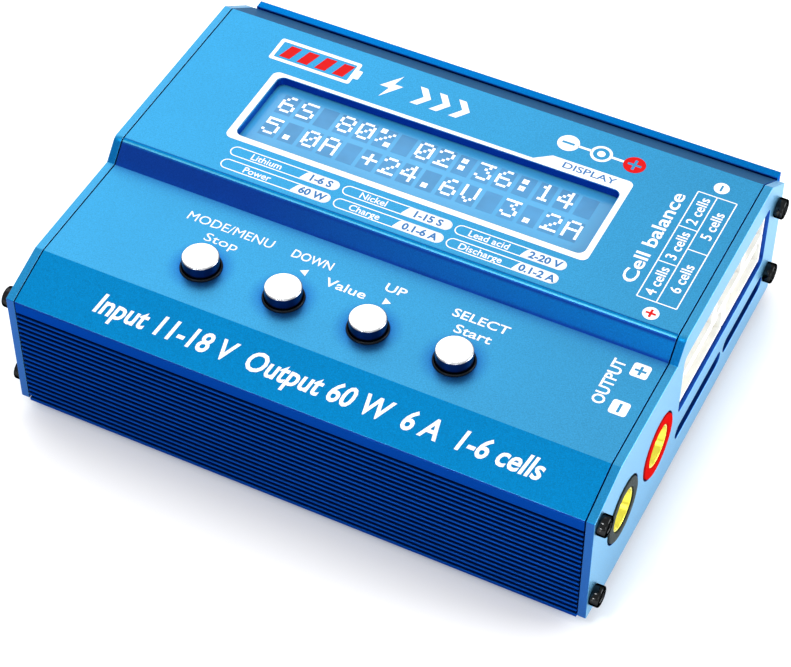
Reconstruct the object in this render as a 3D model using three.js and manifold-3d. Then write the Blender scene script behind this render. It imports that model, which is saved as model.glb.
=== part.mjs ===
// Compact balance battery charger: an extruded aluminium case between two screwed end plates,
// with a character display and four push buttons on top, balance and output sockets on the
// right end, and the fan, power jack and data ports on the left end.
// Millimetres, +Z up, +X right along the front, -Y towards the user. Heights and depths below
// are given in the case's own frame (Z = 0 at the end plates' lower edge, Y = 0 at their middle);
// the last lines stand the whole case on its feet, over the origin.
import * as THREE from "three";
import { mergeVertices } from "three/addons/utils/BufferGeometryUtils.js";
import Module from "manifold-3d";

const wasm = await Module();
wasm.setup();

// ---------------------------------------------------------------- driving dimensions

const GAP = 0.3; // between pieces that meet
const SNUG = 0.05; // between pieces that are stuck or soldered together

const PLATE_SPAN = 102; // over the outer faces of both end plates
const PLATE_THICK = 1.4;
const PLATE_DEPTH = 79.2;
const FRONT_HEIGHT = 23.5; // where the sloping front band starts
const LOWER_DECK = 26.65;
const UPPER_DECK = 29.95;
const BAND_REAR = -30.2; // Y where the sloping band meets the lower deck
const STEP_FOOT = -8.0;
const STEP_HEAD = -5.0;
const STEP_RADIUS = 1.6;
const CHAMFER_TOP_Y = 32.4;
const CHAMFER_LOW_Z = 24.8;
const WALL = 1.5; // cover's sheet thickness
// the cover's tongue behind the tray's front wall: set back, thickness and drop
const TONGUE = { setBack: 1.9, thick: 1.2, drop: 1.9 };
const COVER_BOSS = { front: 34.9, top: 23.9, slope: 0.8 }; // takes the upper rear screws

const TRAY_BOTTOM = -0.5;
const TRAY_FLOOR = 1.0;
const FRONT_WALL = 3.0;
const REAR_WALL_IN = 38.1;
const REAR_WALL_OUT = 42.4;
const RAIL_FRONT = 40.6;
const RAIL_TOP = 24.3;
const SHELF_Z = 18.8; // where the cover's rear skirt ends
const GROOVES = 19;
const GROOVE_PITCH = 1.11;
const GROOVE_WIDTH = 0.66;
const GROOVE_DEPTH = 0.8;
const FIRST_GROOVE = 21.0; // upper edge of the first groove
const FRONT_BOSS = { thick: 1.6, low: 5.6, high: 19.6, slope: 1.0 }; // round the front screws
const REAR_BOSS = { front: 34.2, low: 4.0, high: 9.6, slope: 0.8, rise: 0.5 };
const BOARD_RIB = 1.6; // width of the ribs that carry the main board

const FOOT_DROP = 2.2; // feet's soles below the end plates' lower edge
const FOOT_RADIUS = 4.5;
const FOOT_EDGE = 0.5;
const FOOT_X = 41;
const FOOT_Y = 31;

const SCREW_RADIUS = 0.95;
const SCREW_LENGTH = 8;
const SCREW_HEAD_RADIUS = 1.8;
const SCREW_HEAD_HEIGHT = 1.5;
const SCREW_HOLE = 1.1;
const SCREW_SOCKET = 0.9; // corners of the hexagon
const SCREW_EDGE = 0.15;
// [name, Y, Z] of the four screws of each end plate
const SCREWS = [
  ["front_top", -37.3, 21.2],
  ["front_bottom", -37.3, 3.9],
  ["rear_top", 37.0, 21.5],
  ["rear_bottom", 36.3, 6.8],
];

const WINDOW = { x: -2.1, y: 12.5, width: 62.8, depth: 15.8, corner: 1.2 };
const DISPLAY_WIDTH = 66.4;
const DISPLAY_DEPTH = 19.6;
const GLASS_THICK = 2.1;
const GLASS_TOP = 28.1;

const BUTTON_NAMES = ["stop", "decrease", "increase", "start"];
const BUTTON_FIRST_X = -25.0;
const BUTTON_PITCH = 14.9;
const BUTTON_Y = -22.1;
const BUTTON_RADIUS = 3.05;
const BUTTON_TOP = 29.1;
const BUTTON_EDGE = 0.35; // rounding of the cap's rim
const FLANGE_RADIUS = 3.9;
const FLANGE_LOW = 24.15;
const CAP_RECESS = 0.35; // recess's roof below the lower deck
const COLLAR_INNER = 3.15;
const COLLAR_OUTER = 3.45;
const COLLAR_PROUD = 0.35;
const SWITCH_SIDE = 6;
const SWITCH_HEIGHT = 2.6;
const PLUNGER_RADIUS = 1.7;
const PLUNGER_PLAY = 0.1;
const SWITCH_FLOOR = 0.6;
const SWITCH_STROKE = 0.5; // free depth under the plunger

const BOARD_THICK = 1.6;
const MAIN_BOARD_Z = 4.5;
const DISPLAY_BOARD_Z = 19.5;
const BOARD_FRONT = -34.6;
const BOARD_REAR = 33.9;
const BOARD_REACH = 48.5; // X of the main board's ends
const FAN_NOTCH = { x: -41.5, y: 1.5 }; // corner of the main board's cut-out for the fan
const DISPLAY_BOARD = { left: -41.5, right: 38.5, front: -33, rear: 26 };
const BALANCE_BOARD = { front: -5.2, rear: 33.4, top: 25.0, gap: 0.1 };
const LINK_HEADER = { left: -39.5, right: -37.0, front: -30, rear: -10 };
const RIB_Y = 31;

// parts on the main board
const INDUCTOR = { x: 2, y: 17, inner: 3.4, outer: 8.6, height: 8, edge: 0.6, shoulder: 1 };
const CAPACITOR = { radius: 4, height: 12 };
const INPUT_CAPACITOR = [-28, -18];
const OUTPUT_CAPACITOR = [28, -6];
const CHIP = { x: 6, y: -14, half: 5, height: 1.4 };
const BUZZER = { x: -14, y: -22, radius: 4.5, height: 7, hole: 0.8, depth: 2 };
const TRANSISTOR = { half: 5, front: 33, low: 10.4, height: 8, pitch: 2.54, leg: 0.8, legThick: 0.5 };
const TRANSISTOR_X = { charge_transistor: -22, discharge_transistor: 24 };

const SOCKET_PITCH = 2.5;
const SOCKET_END = 2.3; // from the last pin to the housing's end
const SOCKET_HEIGHT = 5.75;
const SOCKET_MOUTH = 50.4; // X of the sockets' open faces
const SOCKET_DEPTH = 7.9;
const SOCKET_SKIN = 0.65;
const SOCKET_FLOOR = 1.2;
const KEY_WIDTH = 1.1;
const KEY_LENGTH = 4.2;
const PIN_SIDE = 0.64;
const PIN_TIP = 2.6; // below the mouth
const PIN_ROOT = 0.5; // in the floor
const SOCKET_FRONT = -4.2;
const SOCKET_LOW = 12.5;
const BALANCE_OPENING = { y: 14.25, z: 18.4, width: 37.7, height: 13.0, corner: 1.2 };
// balance sockets: [name, pins, row], rows counted from below, each row filled from the front
const SOCKETS = [
  ["balance_socket_6s", 7, 0],
  ["balance_socket_5s", 6, 0],
  ["balance_socket_4s", 5, 1],
  ["balance_socket_3s", 4, 1],
  ["balance_socket_2s", 3, 1],
];

const OUTPUT_Z = 13.3;
const OUTPUTS = [
  ["negative", -27.3],
  ["positive", -13.2],
];
const INSULATOR_RADIUS = 5.6;
const INSULATOR_FACE = 51.2;
const INSULATOR_BACK = 38;
const INSULATOR_EDGE = 0.15;
const FLANGE = { back: 46.5, proud: 1.2 }; // behind the end plate
const CONTACT_RADIUS = 3.75;
const CONTACT_BACK = 37;
const CONTACT_FACE = 51.0;
const CONTACT_LIP = 0.35;
const CONTACT_CONE = 2.8; // length of the lead-in
const CONTACT_BORE = 2.05; // takes a 4 mm plug
const CONTACT_FLOOR = 38.5;
const CONTACT_TAIL = { radius: 1.1, end: 34 };

const VENT_Z = 6.5;
const VENT_HEIGHT = 2.9;
const VENT_CORNER = 1.44;
const VENTS = [
  [-4.6, 15.2],
  [16.4, 34.4],
];

const FAN = { y: 16, z: 14.5, side: 25, depth: 7, bore: 11.7, hub: 5.6, blades: 7 };
const FAN_CORNER = 2;
const FAN_SCREW = { inset: 2.4, radius: 1.2 };
const FAN_MOUNT = { thick: 0.9, arms: 3, armWidth: 1.6, overlap: 0.4 };
const ROTOR = { front: 0.7, bladeFront: 0.9, edge: 0.6, tipGap: 0.5, root: 1.0 };
const BLADE = { chord: 5.0, thick: 0.7, pitch: 52 };
const GRILLE_RADII = [3.6, 6.6, 9.6];
const GRILLE_WIDTH = 1.9;
const GRILLE_ARCS = 4;
const GRILLE_BRIDGE = 1.8;
const JACK = { y: -26, z: 13.2, radius: 4.1, bore: 2.8, pin: 1.05, length: 10.5, bottom: 8.5 };
const JACK_SHELL = { half: 4.6, front: 2.2 };
const JACK_PIN = { tip: 1.0, slope: 0.4 };
const USB = { y: -10.5, z: 7.6, width: 7.6, height: 2.7, depth: 5.4 };
const USB_SKIN = 0.35;
const USB_TONGUE = { width: 4, thick: 0.5 };
const USB_SET_BACK = 0.6;
const USB_CLEARANCE = { gap: 1.0, corner: 0.8 };
const SENSOR = { y: -10.5, z: 15.2, width: 7.4, height: 4.6, depth: 6.4 };
const SENSOR_SKIN = 0.6;
const SENSOR_PIN = { pitch: 2, side: 0.6 };
const SENSOR_SET_BACK = 0.3;
const SENSOR_CLEARANCE = { gap: 0.5, corner: 0.3 };
const PORT_FLOOR = 0.4;

// ---------------------------------------------------------------- derived places

const PLATE_OUT = PLATE_SPAN / 2;
const PLATE_IN = PLATE_OUT - PLATE_THICK;
const BODY_END = PLATE_IN - GAP;
const FRONT = -PLATE_DEPTH / 2;
const REAR = PLATE_DEPTH / 2;
const MAIN_TOP = MAIN_BOARD_Z + BOARD_THICK;
const MAIN_SEAT = MAIN_TOP + SNUG; // where the parts on the main board stand
const DISPLAY_BOARD_TOP = DISPLAY_BOARD_Z + BOARD_THICK;

// ---------------------------------------------------------------- materials

function finish(color, roughness, metalness) {
  return new THREE.MeshStandardMaterial({ color, roughness, metalness });
}

const anodised = finish(0x2f9fe0, 0.42, 0.75);
const anodisedPlate = finish(0x3aa6e4, 0.42, 0.75);
const blackSteel = finish(0x0b0b0c, 0.32, 0.8);
const silver = finish(0xd8dadd, 0.3, 0.9);
const blackPlastic = finish(0x0d0e10, 0.4, 0);
const redPlastic = finish(0xd81a12, 0.4, 0);
const ivoryPlastic = finish(0xf1eee2, 0.55, 0);
const gold = finish(0xe8c22a, 0.25, 1);
const rubber = finish(0x1c1c1e, 0.9, 0);
const boardGreen = finish(0x1c5a34, 0.5, 0.05);
const displayBlue = finish(0x5aa9e6, 0.15, 0);
const backlightWhite = finish(0xe9eef2, 0.6, 0);
const copper = finish(0xb0622a, 0.35, 0.9);
const steel = finish(0xb7babd, 0.35, 0.9);

// ---------------------------------------------------------------- solids, joins and cuts

// A geometry's manifold-3d solid.
function toSolid(geometry) {
  const bare = geometry.index ? geometry.toNonIndexed() : geometry.clone();
  bare.deleteAttribute("normal");
  bare.deleteAttribute("uv");
  const merged = mergeVertices(bare, 1e-4);
  return new wasm.Manifold(
    new wasm.Mesh({
      numProp: 3,
      vertProperties: merged.attributes.position.array,
      triVerts: new Uint32Array(merged.index.array),
    }),
  );
}

// A manifold-3d solid's geometry.
function toGeometry(made) {
  const mesh = made.getMesh();
  const geometry = new THREE.BufferGeometry();
  geometry.setAttribute("position", new THREE.BufferAttribute(mesh.vertProperties, 3));
  geometry.setIndex(new THREE.BufferAttribute(mesh.triVerts, 1));
  return geometry;
}

function join(first, ...others) {
  return toGeometry(others.reduce((sum, one) => sum.add(toSolid(one)), toSolid(first)));
}

function cut(first, ...others) {
  return toGeometry(others.reduce((rest, one) => rest.subtract(toSolid(one)), toSolid(first)));
}

// ---------------------------------------------------------------- shapes

// An outline from [a, b] points; a third value rounds that corner with its radius.
function outline(points) {
  const shape = new THREE.Shape();
  const count = points.length;
  const clockwise = THREE.ShapeUtils.isClockWise(points.map(([x, y]) => ({ x, y })));
  const ordered = clockwise ? [...points].reverse() : points;
  ordered.forEach(([a, b, radius = 0], i) => {
    const here = new THREE.Vector2(a, b);
    const before = new THREE.Vector2(...ordered[(i + count - 1) % count].slice(0, 2));
    const after = new THREE.Vector2(...ordered[(i + 1) % count].slice(0, 2));
    const into = before.sub(here).normalize();
    const onward = after.sub(here).normalize();
    const half = Math.acos(THREE.MathUtils.clamp(into.dot(onward), -1, 1)) / 2;
    const reach = radius / Math.tan(half);
    const start = here.clone().addScaledVector(into, reach);
    const end = here.clone().addScaledVector(onward, reach);
    if (i === 0) shape.moveTo(start.x, start.y);
    else shape.lineTo(start.x, start.y);
    if (radius > 0) shape.quadraticCurveTo(here.x, here.y, end.x, end.y);
  });
  shape.closePath();
  return shape;
}

function roundedRectangle({ x, y, width, depth, corner }) {
  const w = width / 2;
  const d = depth / 2;
  return outline([
    [x - w, y - d, corner],
    [x + w, y - d, corner],
    [x + w, y + d, corner],
    [x - w, y + d, corner],
  ]);
}

function circlePath(x, y, radius) {
  return new THREE.Path().absarc(x, y, radius, 0, 2 * Math.PI, true);
}

// A shape drawn in X and Y, from one height to another.
function extrudeUp(shape, low, high, curveSegments = 6) {
  const settings = { depth: high - low, bevelEnabled: false, curveSegments };
  return new THREE.ExtrudeGeometry(shape, settings).translate(0, 0, low);
}

// A shape drawn in Y and Z, from one X to another.
const yzToXyz = new THREE.Matrix4().set(0, 0, 1, 0, 1, 0, 0, 0, 0, 1, 0, 0, 0, 0, 0, 1);
function extrudeAlongX(shape, from, to, curveSegments = 6) {
  const settings = { depth: to - from, bevelEnabled: false, curveSegments };
  const geometry = new THREE.ExtrudeGeometry(shape, settings);
  return geometry.applyMatrix4(yzToXyz).translate(from, 0, 0);
}

// A box from its lowest and highest corners.
function block([x0, y0, z0], [x1, y1, z1]) {
  const geometry = new THREE.BoxGeometry(x1 - x0, y1 - y0, z1 - z0);
  return geometry.translate((x0 + x1) / 2, (y0 + y1) / 2, (z0 + z1) / 2);
}

// A turned piece: [radius, height] points from the lower end of its axis, standing on +Z.
function turned(profile, segments) {
  const points = profile.map(([radius, height]) => new THREE.Vector2(radius, height));
  return new THREE.LatheGeometry(points, segments).rotateX(Math.PI / 2);
}

// The same piece lying along X, from its profile's heights used as X.
function turnedAlongX(profile, segments) {
  return turned(profile, segments).rotateY(Math.PI / 2);
}

function rod(radius, low, high, segments = 16) {
  const ends = [
    [0, low],
    [radius, low],
    [radius, high],
    [0, high],
  ];
  return turned(ends, segments);
}

// ---------------------------------------------------------------- assembly

const charger = new THREE.Group();

function add(name, geometry, material, parent = charger) {
  const mesh = new THREE.Mesh(geometry, material);
  mesh.name = name;
  parent.add(mesh);
  return mesh;
}

// ---------------------------------------------------------------- case shells

// Outer corners shared by the cover and the end plates, from the front edge to the rear.
const ROOF = [
  [FRONT, FRONT_HEIGHT],
  [BAND_REAR, LOWER_DECK],
  [STEP_FOOT, LOWER_DECK],
  [STEP_HEAD, UPPER_DECK, STEP_RADIUS],
  [CHAMFER_TOP_Y, UPPER_DECK],
  [REAR, CHAMFER_LOW_Z],
];

// Inner surface of the cover: every roof line moved in by the wall thickness.
function insetRoof() {
  const lines = ROOF.slice(1).map(([y, z], i) => {
    const from = new THREE.Vector2(ROOF[i][0], ROOF[i][1]);
    const along = new THREE.Vector2(y, z).sub(from).normalize();
    return { from: from.add(new THREE.Vector2(along.y, -along.x).multiplyScalar(WALL)), along };
  });
  const corners = lines.slice(1).map((line, i) => {
    const last = lines[i];
    const across = last.along.cross(line.along);
    const reach = line.from.clone().sub(last.from).cross(line.along) / across;
    return last.from.clone().addScaledVector(last.along, reach).toArray();
  });
  const heightAt = (line, y) => line.from.y + ((y - line.from.x) * line.along.y) / line.along.x;
  return { corners, heightAt, first: lines[0], last: lines[lines.length - 1] };
}

function makeCover() {
  const inset = insetRoof();
  const tongueFront = FRONT + FRONT_WALL + TONGUE.setBack;
  const tongueRear = tongueFront + TONGUE.thick;
  const tongueLow = FRONT_HEIGHT - TONGUE.drop;
  const skirtLow = SHELF_Z + GAP;
  const boss = COVER_BOSS;
  const section = outline([
    ...ROOF,
    [REAR, skirtLow],
    [boss.front + boss.slope, skirtLow],
    [boss.front, skirtLow + boss.slope],
    [boss.front, boss.top - boss.slope],
    [boss.front + boss.slope, boss.top],
    [REAR_WALL_IN, inset.heightAt(inset.last, REAR_WALL_IN)],
    ...inset.corners.reverse(),
    [tongueRear, inset.heightAt(inset.first, tongueRear)],
    [tongueRear, tongueLow],
    [tongueFront, tongueLow],
    [tongueFront, FRONT_HEIGHT],
  ]);
  const [, screwY, screwZ] = SCREWS[2];
  section.holes.push(circlePath(screwY, screwZ, SCREW_HOLE));
  const openings = [extrudeUp(roundedRectangle(WINDOW), LOWER_DECK, UPPER_DECK + 1)];
  BUTTON_NAMES.forEach((name, i) => {
    const hole = rod(COLLAR_OUTER + SNUG, LOWER_DECK - 2 * WALL, LOWER_DECK + 1, 24);
    openings.push(hole.translate(BUTTON_FIRST_X + i * BUTTON_PITCH, BUTTON_Y, 0));
  });
  return cut(extrudeAlongX(section, -BODY_END, BODY_END), ...openings);
}

// Groove walls of a finned face at Y = face, cut towards -Y or +Y, listed from the top down.
function grooveSteps(face, inward) {
  const steps = [];
  for (let i = 0; i < GROOVES; i += 1) {
    const top = FIRST_GROOVE - i * GROOVE_PITCH;
    const bottom = top - GROOVE_WIDTH;
    steps.push([face, top], [face + inward, top], [face + inward, bottom], [face, bottom]);
  }
  return steps;
}

function makeTray() {
  const wallTop = FRONT_HEIGHT - GAP;
  const wallIn = FRONT + FRONT_WALL;
  const bossIn = wallIn + FRONT_BOSS.thick;
  const rear = REAR_BOSS;
  const ribHalf = BOARD_RIB / 2;
  const ribTop = MAIN_BOARD_Z - SNUG;
  const ribs = [RIB_Y, -RIB_Y].flatMap((y) => [
    [y + ribHalf, TRAY_FLOOR],
    [y + ribHalf, ribTop],
    [y - ribHalf, ribTop],
    [y - ribHalf, TRAY_FLOOR],
  ]);
  const section = outline([
    [FRONT, wallTop],
    ...grooveSteps(FRONT, GROOVE_DEPTH),
    [FRONT, TRAY_BOTTOM],
    [REAR_WALL_OUT, TRAY_BOTTOM],
    ...grooveSteps(REAR_WALL_OUT, -GROOVE_DEPTH).reverse(),
    [REAR_WALL_OUT, RAIL_TOP],
    [RAIL_FRONT, RAIL_TOP],
    [RAIL_FRONT, SHELF_Z],
    [REAR_WALL_IN, SHELF_Z],
    [REAR_WALL_IN, rear.high],
    [rear.front + rear.slope, rear.high - rear.rise],
    [rear.front, rear.high - rear.rise - rear.slope],
    [rear.front, rear.low + rear.rise + rear.slope],
    [rear.front + rear.slope, rear.low + rear.rise],
    [REAR_WALL_IN, rear.low],
    [REAR_WALL_IN, TRAY_FLOOR],
    ...ribs,
    [bossIn, TRAY_FLOOR],
    [bossIn, FRONT_BOSS.low],
    [wallIn, FRONT_BOSS.low + FRONT_BOSS.slope],
    [wallIn, FRONT_BOSS.high - FRONT_BOSS.slope],
    [bossIn, FRONT_BOSS.high],
    [bossIn, wallTop - 2 * GAP],
    [bossIn - 2 * GAP, wallTop],
  ]);
  [SCREWS[0], SCREWS[1], SCREWS[3]].forEach(([, y, z]) => {
    section.holes.push(circlePath(y, z, SCREW_HOLE));
  });
  return extrudeAlongX(section, -BODY_END, BODY_END);
}

// End plate's outline with its four screw holes.
function plateShape() {
  const shape = outline([[FRONT, 0, 0.4], ...ROOF.map(([y, z, r = 0]) => [y, z, r]), [REAR, 0, 0.4]]);
  SCREWS.forEach(([, y, z]) => shape.holes.push(circlePath(y, z, SCREW_HOLE)));
  return shape;
}

function holeOf(y, z, width, height, corner) {
  return roundedRectangle({ x: y, y: z, width, depth: height, corner });
}

function makeRightPlate() {
  const shape = plateShape();
  const opening = BALANCE_OPENING;
  shape.holes.push(holeOf(opening.y, opening.z, opening.width, opening.height, opening.corner));
  VENTS.forEach(([from, to]) => {
    shape.holes.push(holeOf((from + to) / 2, VENT_Z, to - from, VENT_HEIGHT, VENT_CORNER));
  });
  OUTPUTS.forEach(([, y]) => shape.holes.push(circlePath(y, OUTPUT_Z, INSULATOR_RADIUS + GAP)));
  return extrudeAlongX(shape, PLATE_IN, PLATE_OUT, 10);
}

// One curved slot of the fan grille.
function grilleSlot(radius, index) {
  const bridge = GRILLE_BRIDGE / radius;
  const sweep = (2 * Math.PI) / GRILLE_ARCS;
  const start = index * sweep + bridge / 2 + Math.PI / 4;
  const end = start + sweep - bridge;
  const slot = new THREE.Path();
  slot.absarc(FAN.y, FAN.z, radius + GRILLE_WIDTH / 2, start, end, false);
  slot.absarc(FAN.y, FAN.z, radius - GRILLE_WIDTH / 2, end, start, true);
  slot.closePath();
  return slot;
}

function makeLeftPlate() {
  const shape = plateShape();
  GRILLE_RADII.forEach((radius) => {
    for (let i = 0; i < GRILLE_ARCS; i += 1) shape.holes.push(grilleSlot(radius, i));
  });
  shape.holes.push(circlePath(JACK.y, JACK.z, JACK.radius + GAP));
  [
    [USB, USB_CLEARANCE],
    [SENSOR, SENSOR_CLEARANCE],
  ].forEach(([{ y, z, width, height }, { gap, corner }]) => {
    shape.holes.push(holeOf(y, z, width + gap, height + gap, corner));
  });
  return extrudeAlongX(shape, -PLATE_OUT, -PLATE_IN, 5);
}

add("top_cover", makeCover(), anodised);
add("base_tray", makeTray(), anodised);
add("left_end_plate", makeLeftPlate(), anodisedPlate);
add("right_end_plate", makeRightPlate(), anodisedPlate);

// Socket-head screw lying along X, its head's seat at X = 0 and its shank towards -X.
function makeScrew() {
  const body = turnedAlongX(
    [
      [0, -SCREW_LENGTH],
      [SCREW_RADIUS, -SCREW_LENGTH],
      [SCREW_RADIUS, 0],
      [SCREW_HEAD_RADIUS, 0],
      [SCREW_HEAD_RADIUS, SCREW_HEAD_HEIGHT - SCREW_EDGE],
      [SCREW_HEAD_RADIUS - SCREW_EDGE, SCREW_HEAD_HEIGHT],
      [0, SCREW_HEAD_HEIGHT],
    ],
    14,
  );
  const socket = new THREE.CylinderGeometry(SCREW_SOCKET, SCREW_SOCKET, 2, 6).rotateZ(Math.PI / 2);
  return cut(body, socket.translate(SCREW_HEAD_HEIGHT, 0, 0));
}

const screwGeometry = makeScrew();
[
  ["left", -1],
  ["right", 1],
].forEach(([side, sign]) => {
  SCREWS.forEach(([place, y, z]) => {
    const screw = add(side + "_screw_" + place, screwGeometry, blackSteel);
    screw.position.set(sign * (PLATE_OUT + SNUG), y, z);
    if (sign < 0) screw.rotation.z = Math.PI;
  });
});

// Four stick-on rubber feet.
const footProfile = [
  [0, -FOOT_DROP],
  [FOOT_RADIUS - FOOT_EDGE, -FOOT_DROP],
  [FOOT_RADIUS, -FOOT_DROP + FOOT_EDGE],
  [FOOT_RADIUS, TRAY_BOTTOM - SNUG],
  [0, TRAY_BOTTOM - SNUG],
];
[
  ["front_left", -1, -1],
  ["front_right", 1, -1],
  ["rear_left", -1, 1],
  ["rear_right", 1, 1],
].forEach(([place, sx, sy]) => {
  const foot = add("foot_" + place, turned(footProfile, 20), rubber);
  foot.position.set(sx * FOOT_X, sy * FOOT_Y, 0);
});

// ---------------------------------------------------------------- display

function displaySlab(low, high) {
  const w = DISPLAY_WIDTH / 2;
  const d = DISPLAY_DEPTH / 2;
  return block([WINDOW.x - w, WINDOW.y - d, low], [WINDOW.x + w, WINDOW.y + d, high]);
}

add("display_glass", displaySlab(GLASS_TOP - GLASS_THICK, GLASS_TOP), displayBlue);
add(
  "display_backlight",
  displaySlab(DISPLAY_BOARD_TOP + SNUG, GLASS_TOP - GLASS_THICK - SNUG),
  backlightWhite,
);

// A block over a named footprint, between two heights.
function blockOn({ left, right, front, rear }, low, high) {
  return block([left, front, low], [right, rear, high]);
}

add("display_board", blockOn(DISPLAY_BOARD, DISPLAY_BOARD_Z, DISPLAY_BOARD_TOP), boardGreen);
const linkHeader = blockOn(LINK_HEADER, MAIN_SEAT, DISPLAY_BOARD_Z - SNUG);
add("board_link_header", linkHeader, blackPlastic);

// ---------------------------------------------------------------- push buttons

const flangeTop = LOWER_DECK - WALL - GAP;
const recessTop = LOWER_DECK - CAP_RECESS;
const recessRadius = PLUNGER_RADIUS + PLUNGER_PLAY;
const capProfile = [
  [0, recessTop],
  [recessRadius, recessTop],
  [recessRadius, FLANGE_LOW],
  [FLANGE_RADIUS, FLANGE_LOW],
  [FLANGE_RADIUS, flangeTop],
  [BUTTON_RADIUS, flangeTop],
  [BUTTON_RADIUS, BUTTON_TOP - BUTTON_EDGE],
  [BUTTON_RADIUS - 0.3 * BUTTON_EDGE, BUTTON_TOP - 0.3 * BUTTON_EDGE],
  [BUTTON_RADIUS - BUTTON_EDGE, BUTTON_TOP],
  [0, BUTTON_TOP],
];
const collarProfile = [
  [COLLAR_INNER, LOWER_DECK - WALL],
  [COLLAR_OUTER, LOWER_DECK - WALL],
  [COLLAR_OUTER, LOWER_DECK + COLLAR_PROUD],
  [COLLAR_INNER, LOWER_DECK + COLLAR_PROUD],
  [COLLAR_INNER, LOWER_DECK - WALL],
];
const switchLow = DISPLAY_BOARD_TOP + SNUG;
const switchHalf = SWITCH_SIDE / 2;
const switchBody = cut(
  block([-switchHalf, -switchHalf, switchLow], [switchHalf, switchHalf, switchLow + SWITCH_HEIGHT]),
  rod(recessRadius, switchLow + SWITCH_FLOOR, switchLow + SWITCH_HEIGHT + 1, 16),
);
const plungerLow = switchLow + SWITCH_FLOOR + SWITCH_STROKE;
const plunger = rod(PLUNGER_RADIUS, plungerLow, recessTop - SNUG, 16);

BUTTON_NAMES.forEach((name, i) => {
  const place = new THREE.Group();
  place.position.set(BUTTON_FIRST_X + i * BUTTON_PITCH, BUTTON_Y, 0);
  charger.add(place);
  add(name + "_button_cap", turned(capProfile, 20), silver, place);
  add(name + "_button_collar", turned(collarProfile, 20), blackPlastic, place);
  add(name + "_switch_plunger", plunger, blackPlastic, place);
  add(name + "_switch_body", switchBody, steel, place);
});

// ---------------------------------------------------------------- boards and their parts

const boardShape = outline([
  [-BOARD_REACH, BOARD_FRONT],
  [BOARD_REACH, BOARD_FRONT],
  [BOARD_REACH, BOARD_REAR],
  [FAN_NOTCH.x, BOARD_REAR],
  [FAN_NOTCH.x, FAN_NOTCH.y],
  [-BOARD_REACH, FAN_NOTCH.y],
]);
add("main_board", extrudeUp(boardShape, MAIN_BOARD_Z, MAIN_TOP), boardGreen);

const balanceBoardX = SOCKET_MOUTH - SOCKET_DEPTH - BALANCE_BOARD.gap;
const balanceBoard = block(
  [balanceBoardX - BOARD_THICK, BALANCE_BOARD.front, MAIN_SEAT],
  [balanceBoardX, BALANCE_BOARD.rear, BALANCE_BOARD.top],
);
add("balance_board", balanceBoard, boardGreen);

// A wound ring, closed at the start of its profile.
function makeInductor() {
  const { inner, outer, height, edge, shoulder } = INDUCTOR;
  const top = MAIN_SEAT + height;
  const profile = [
    [inner + edge, MAIN_SEAT],
    [outer - edge, MAIN_SEAT],
    [outer, MAIN_SEAT + shoulder],
    [outer, top - shoulder],
    [outer - edge, top],
    [inner + edge, top],
    [inner, top - shoulder],
    [inner, MAIN_SEAT + shoulder],
    [inner + edge, MAIN_SEAT],
  ];
  return turned(profile, 24);
}

function makeBuzzer() {
  const top = MAIN_SEAT + BUZZER.height;
  const can = rod(BUZZER.radius, MAIN_SEAT, top, 20);
  return cut(can, rod(BUZZER.hole, top - BUZZER.depth, top + 1, 10));
}

// A power transistor standing on three legs, clamped flat to the rear wall.
function makeTransistor() {
  const { half, front, low, height, pitch, leg, legThick } = TRANSISTOR;
  const body = block([-half, front, low], [half, REAR_WALL_IN - SNUG, low + height]);
  const legFront = front + 0.1;
  const legs = [-pitch, 0, pitch].map((x) =>
    block([x - leg / 2, legFront, MAIN_SEAT], [x + leg / 2, legFront + legThick, low + 1]),
  );
  return join(body, ...legs);
}

add("power_inductor", makeInductor(), copper).position.set(INDUCTOR.x, INDUCTOR.y, 0);
const can = rod(CAPACITOR.radius, MAIN_SEAT, MAIN_SEAT + CAPACITOR.height, 20);
add("input_capacitor", can, steel).position.set(...INPUT_CAPACITOR, 0);
add("output_capacitor", can, steel).position.set(...OUTPUT_CAPACITOR, 0);
const chip = block(
  [-CHIP.half, -CHIP.half, MAIN_SEAT],
  [CHIP.half, CHIP.half, MAIN_SEAT + CHIP.height],
);
add("microcontroller", chip, blackPlastic).position.set(CHIP.x, CHIP.y, 0);
add("buzzer", makeBuzzer(), blackPlastic).position.set(BUZZER.x, BUZZER.y, 0);
const transistor = makeTransistor();
Object.entries(TRANSISTOR_X).forEach(([name, x]) => {
  add(name, transistor, blackPlastic).position.set(x, 0, 0);
});

// ---------------------------------------------------------------- balance sockets

// Open-mouthed housing with square pins; its front lower corner of the mouth is at the origin.
function makeSocket(pins) {
  const width = (pins - 1) * SOCKET_PITCH + 2 * SOCKET_END;
  const floor = -SOCKET_DEPTH + SOCKET_FLOOR;
  const cavity = block(
    [floor, SOCKET_SKIN, SOCKET_SKIN],
    [1, width - SOCKET_SKIN, SOCKET_HEIGHT - SOCKET_SKIN],
  );
  const keys = [SOCKET_END, width - SOCKET_END].map((y) =>
    block(
      [-KEY_LENGTH, y - KEY_WIDTH / 2, SOCKET_HEIGHT - 1],
      [1, y + KEY_WIDTH / 2, SOCKET_HEIGHT + 1],
    ),
  );
  const housing = cut(block([-SOCKET_DEPTH, 0, 0], [0, width, SOCKET_HEIGHT]), cavity, ...keys);
  const half = PIN_SIDE / 2;
  const pinZ = SOCKET_HEIGHT / 2;
  const pinBlocks = Array.from({ length: pins }, (_, i) => {
    const y = SOCKET_END + i * SOCKET_PITCH;
    return block([floor - PIN_ROOT, y - half, pinZ - half], [-PIN_TIP, y + half, pinZ + half]);
  });
  return { geometry: join(housing, ...pinBlocks), width };
}

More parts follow.
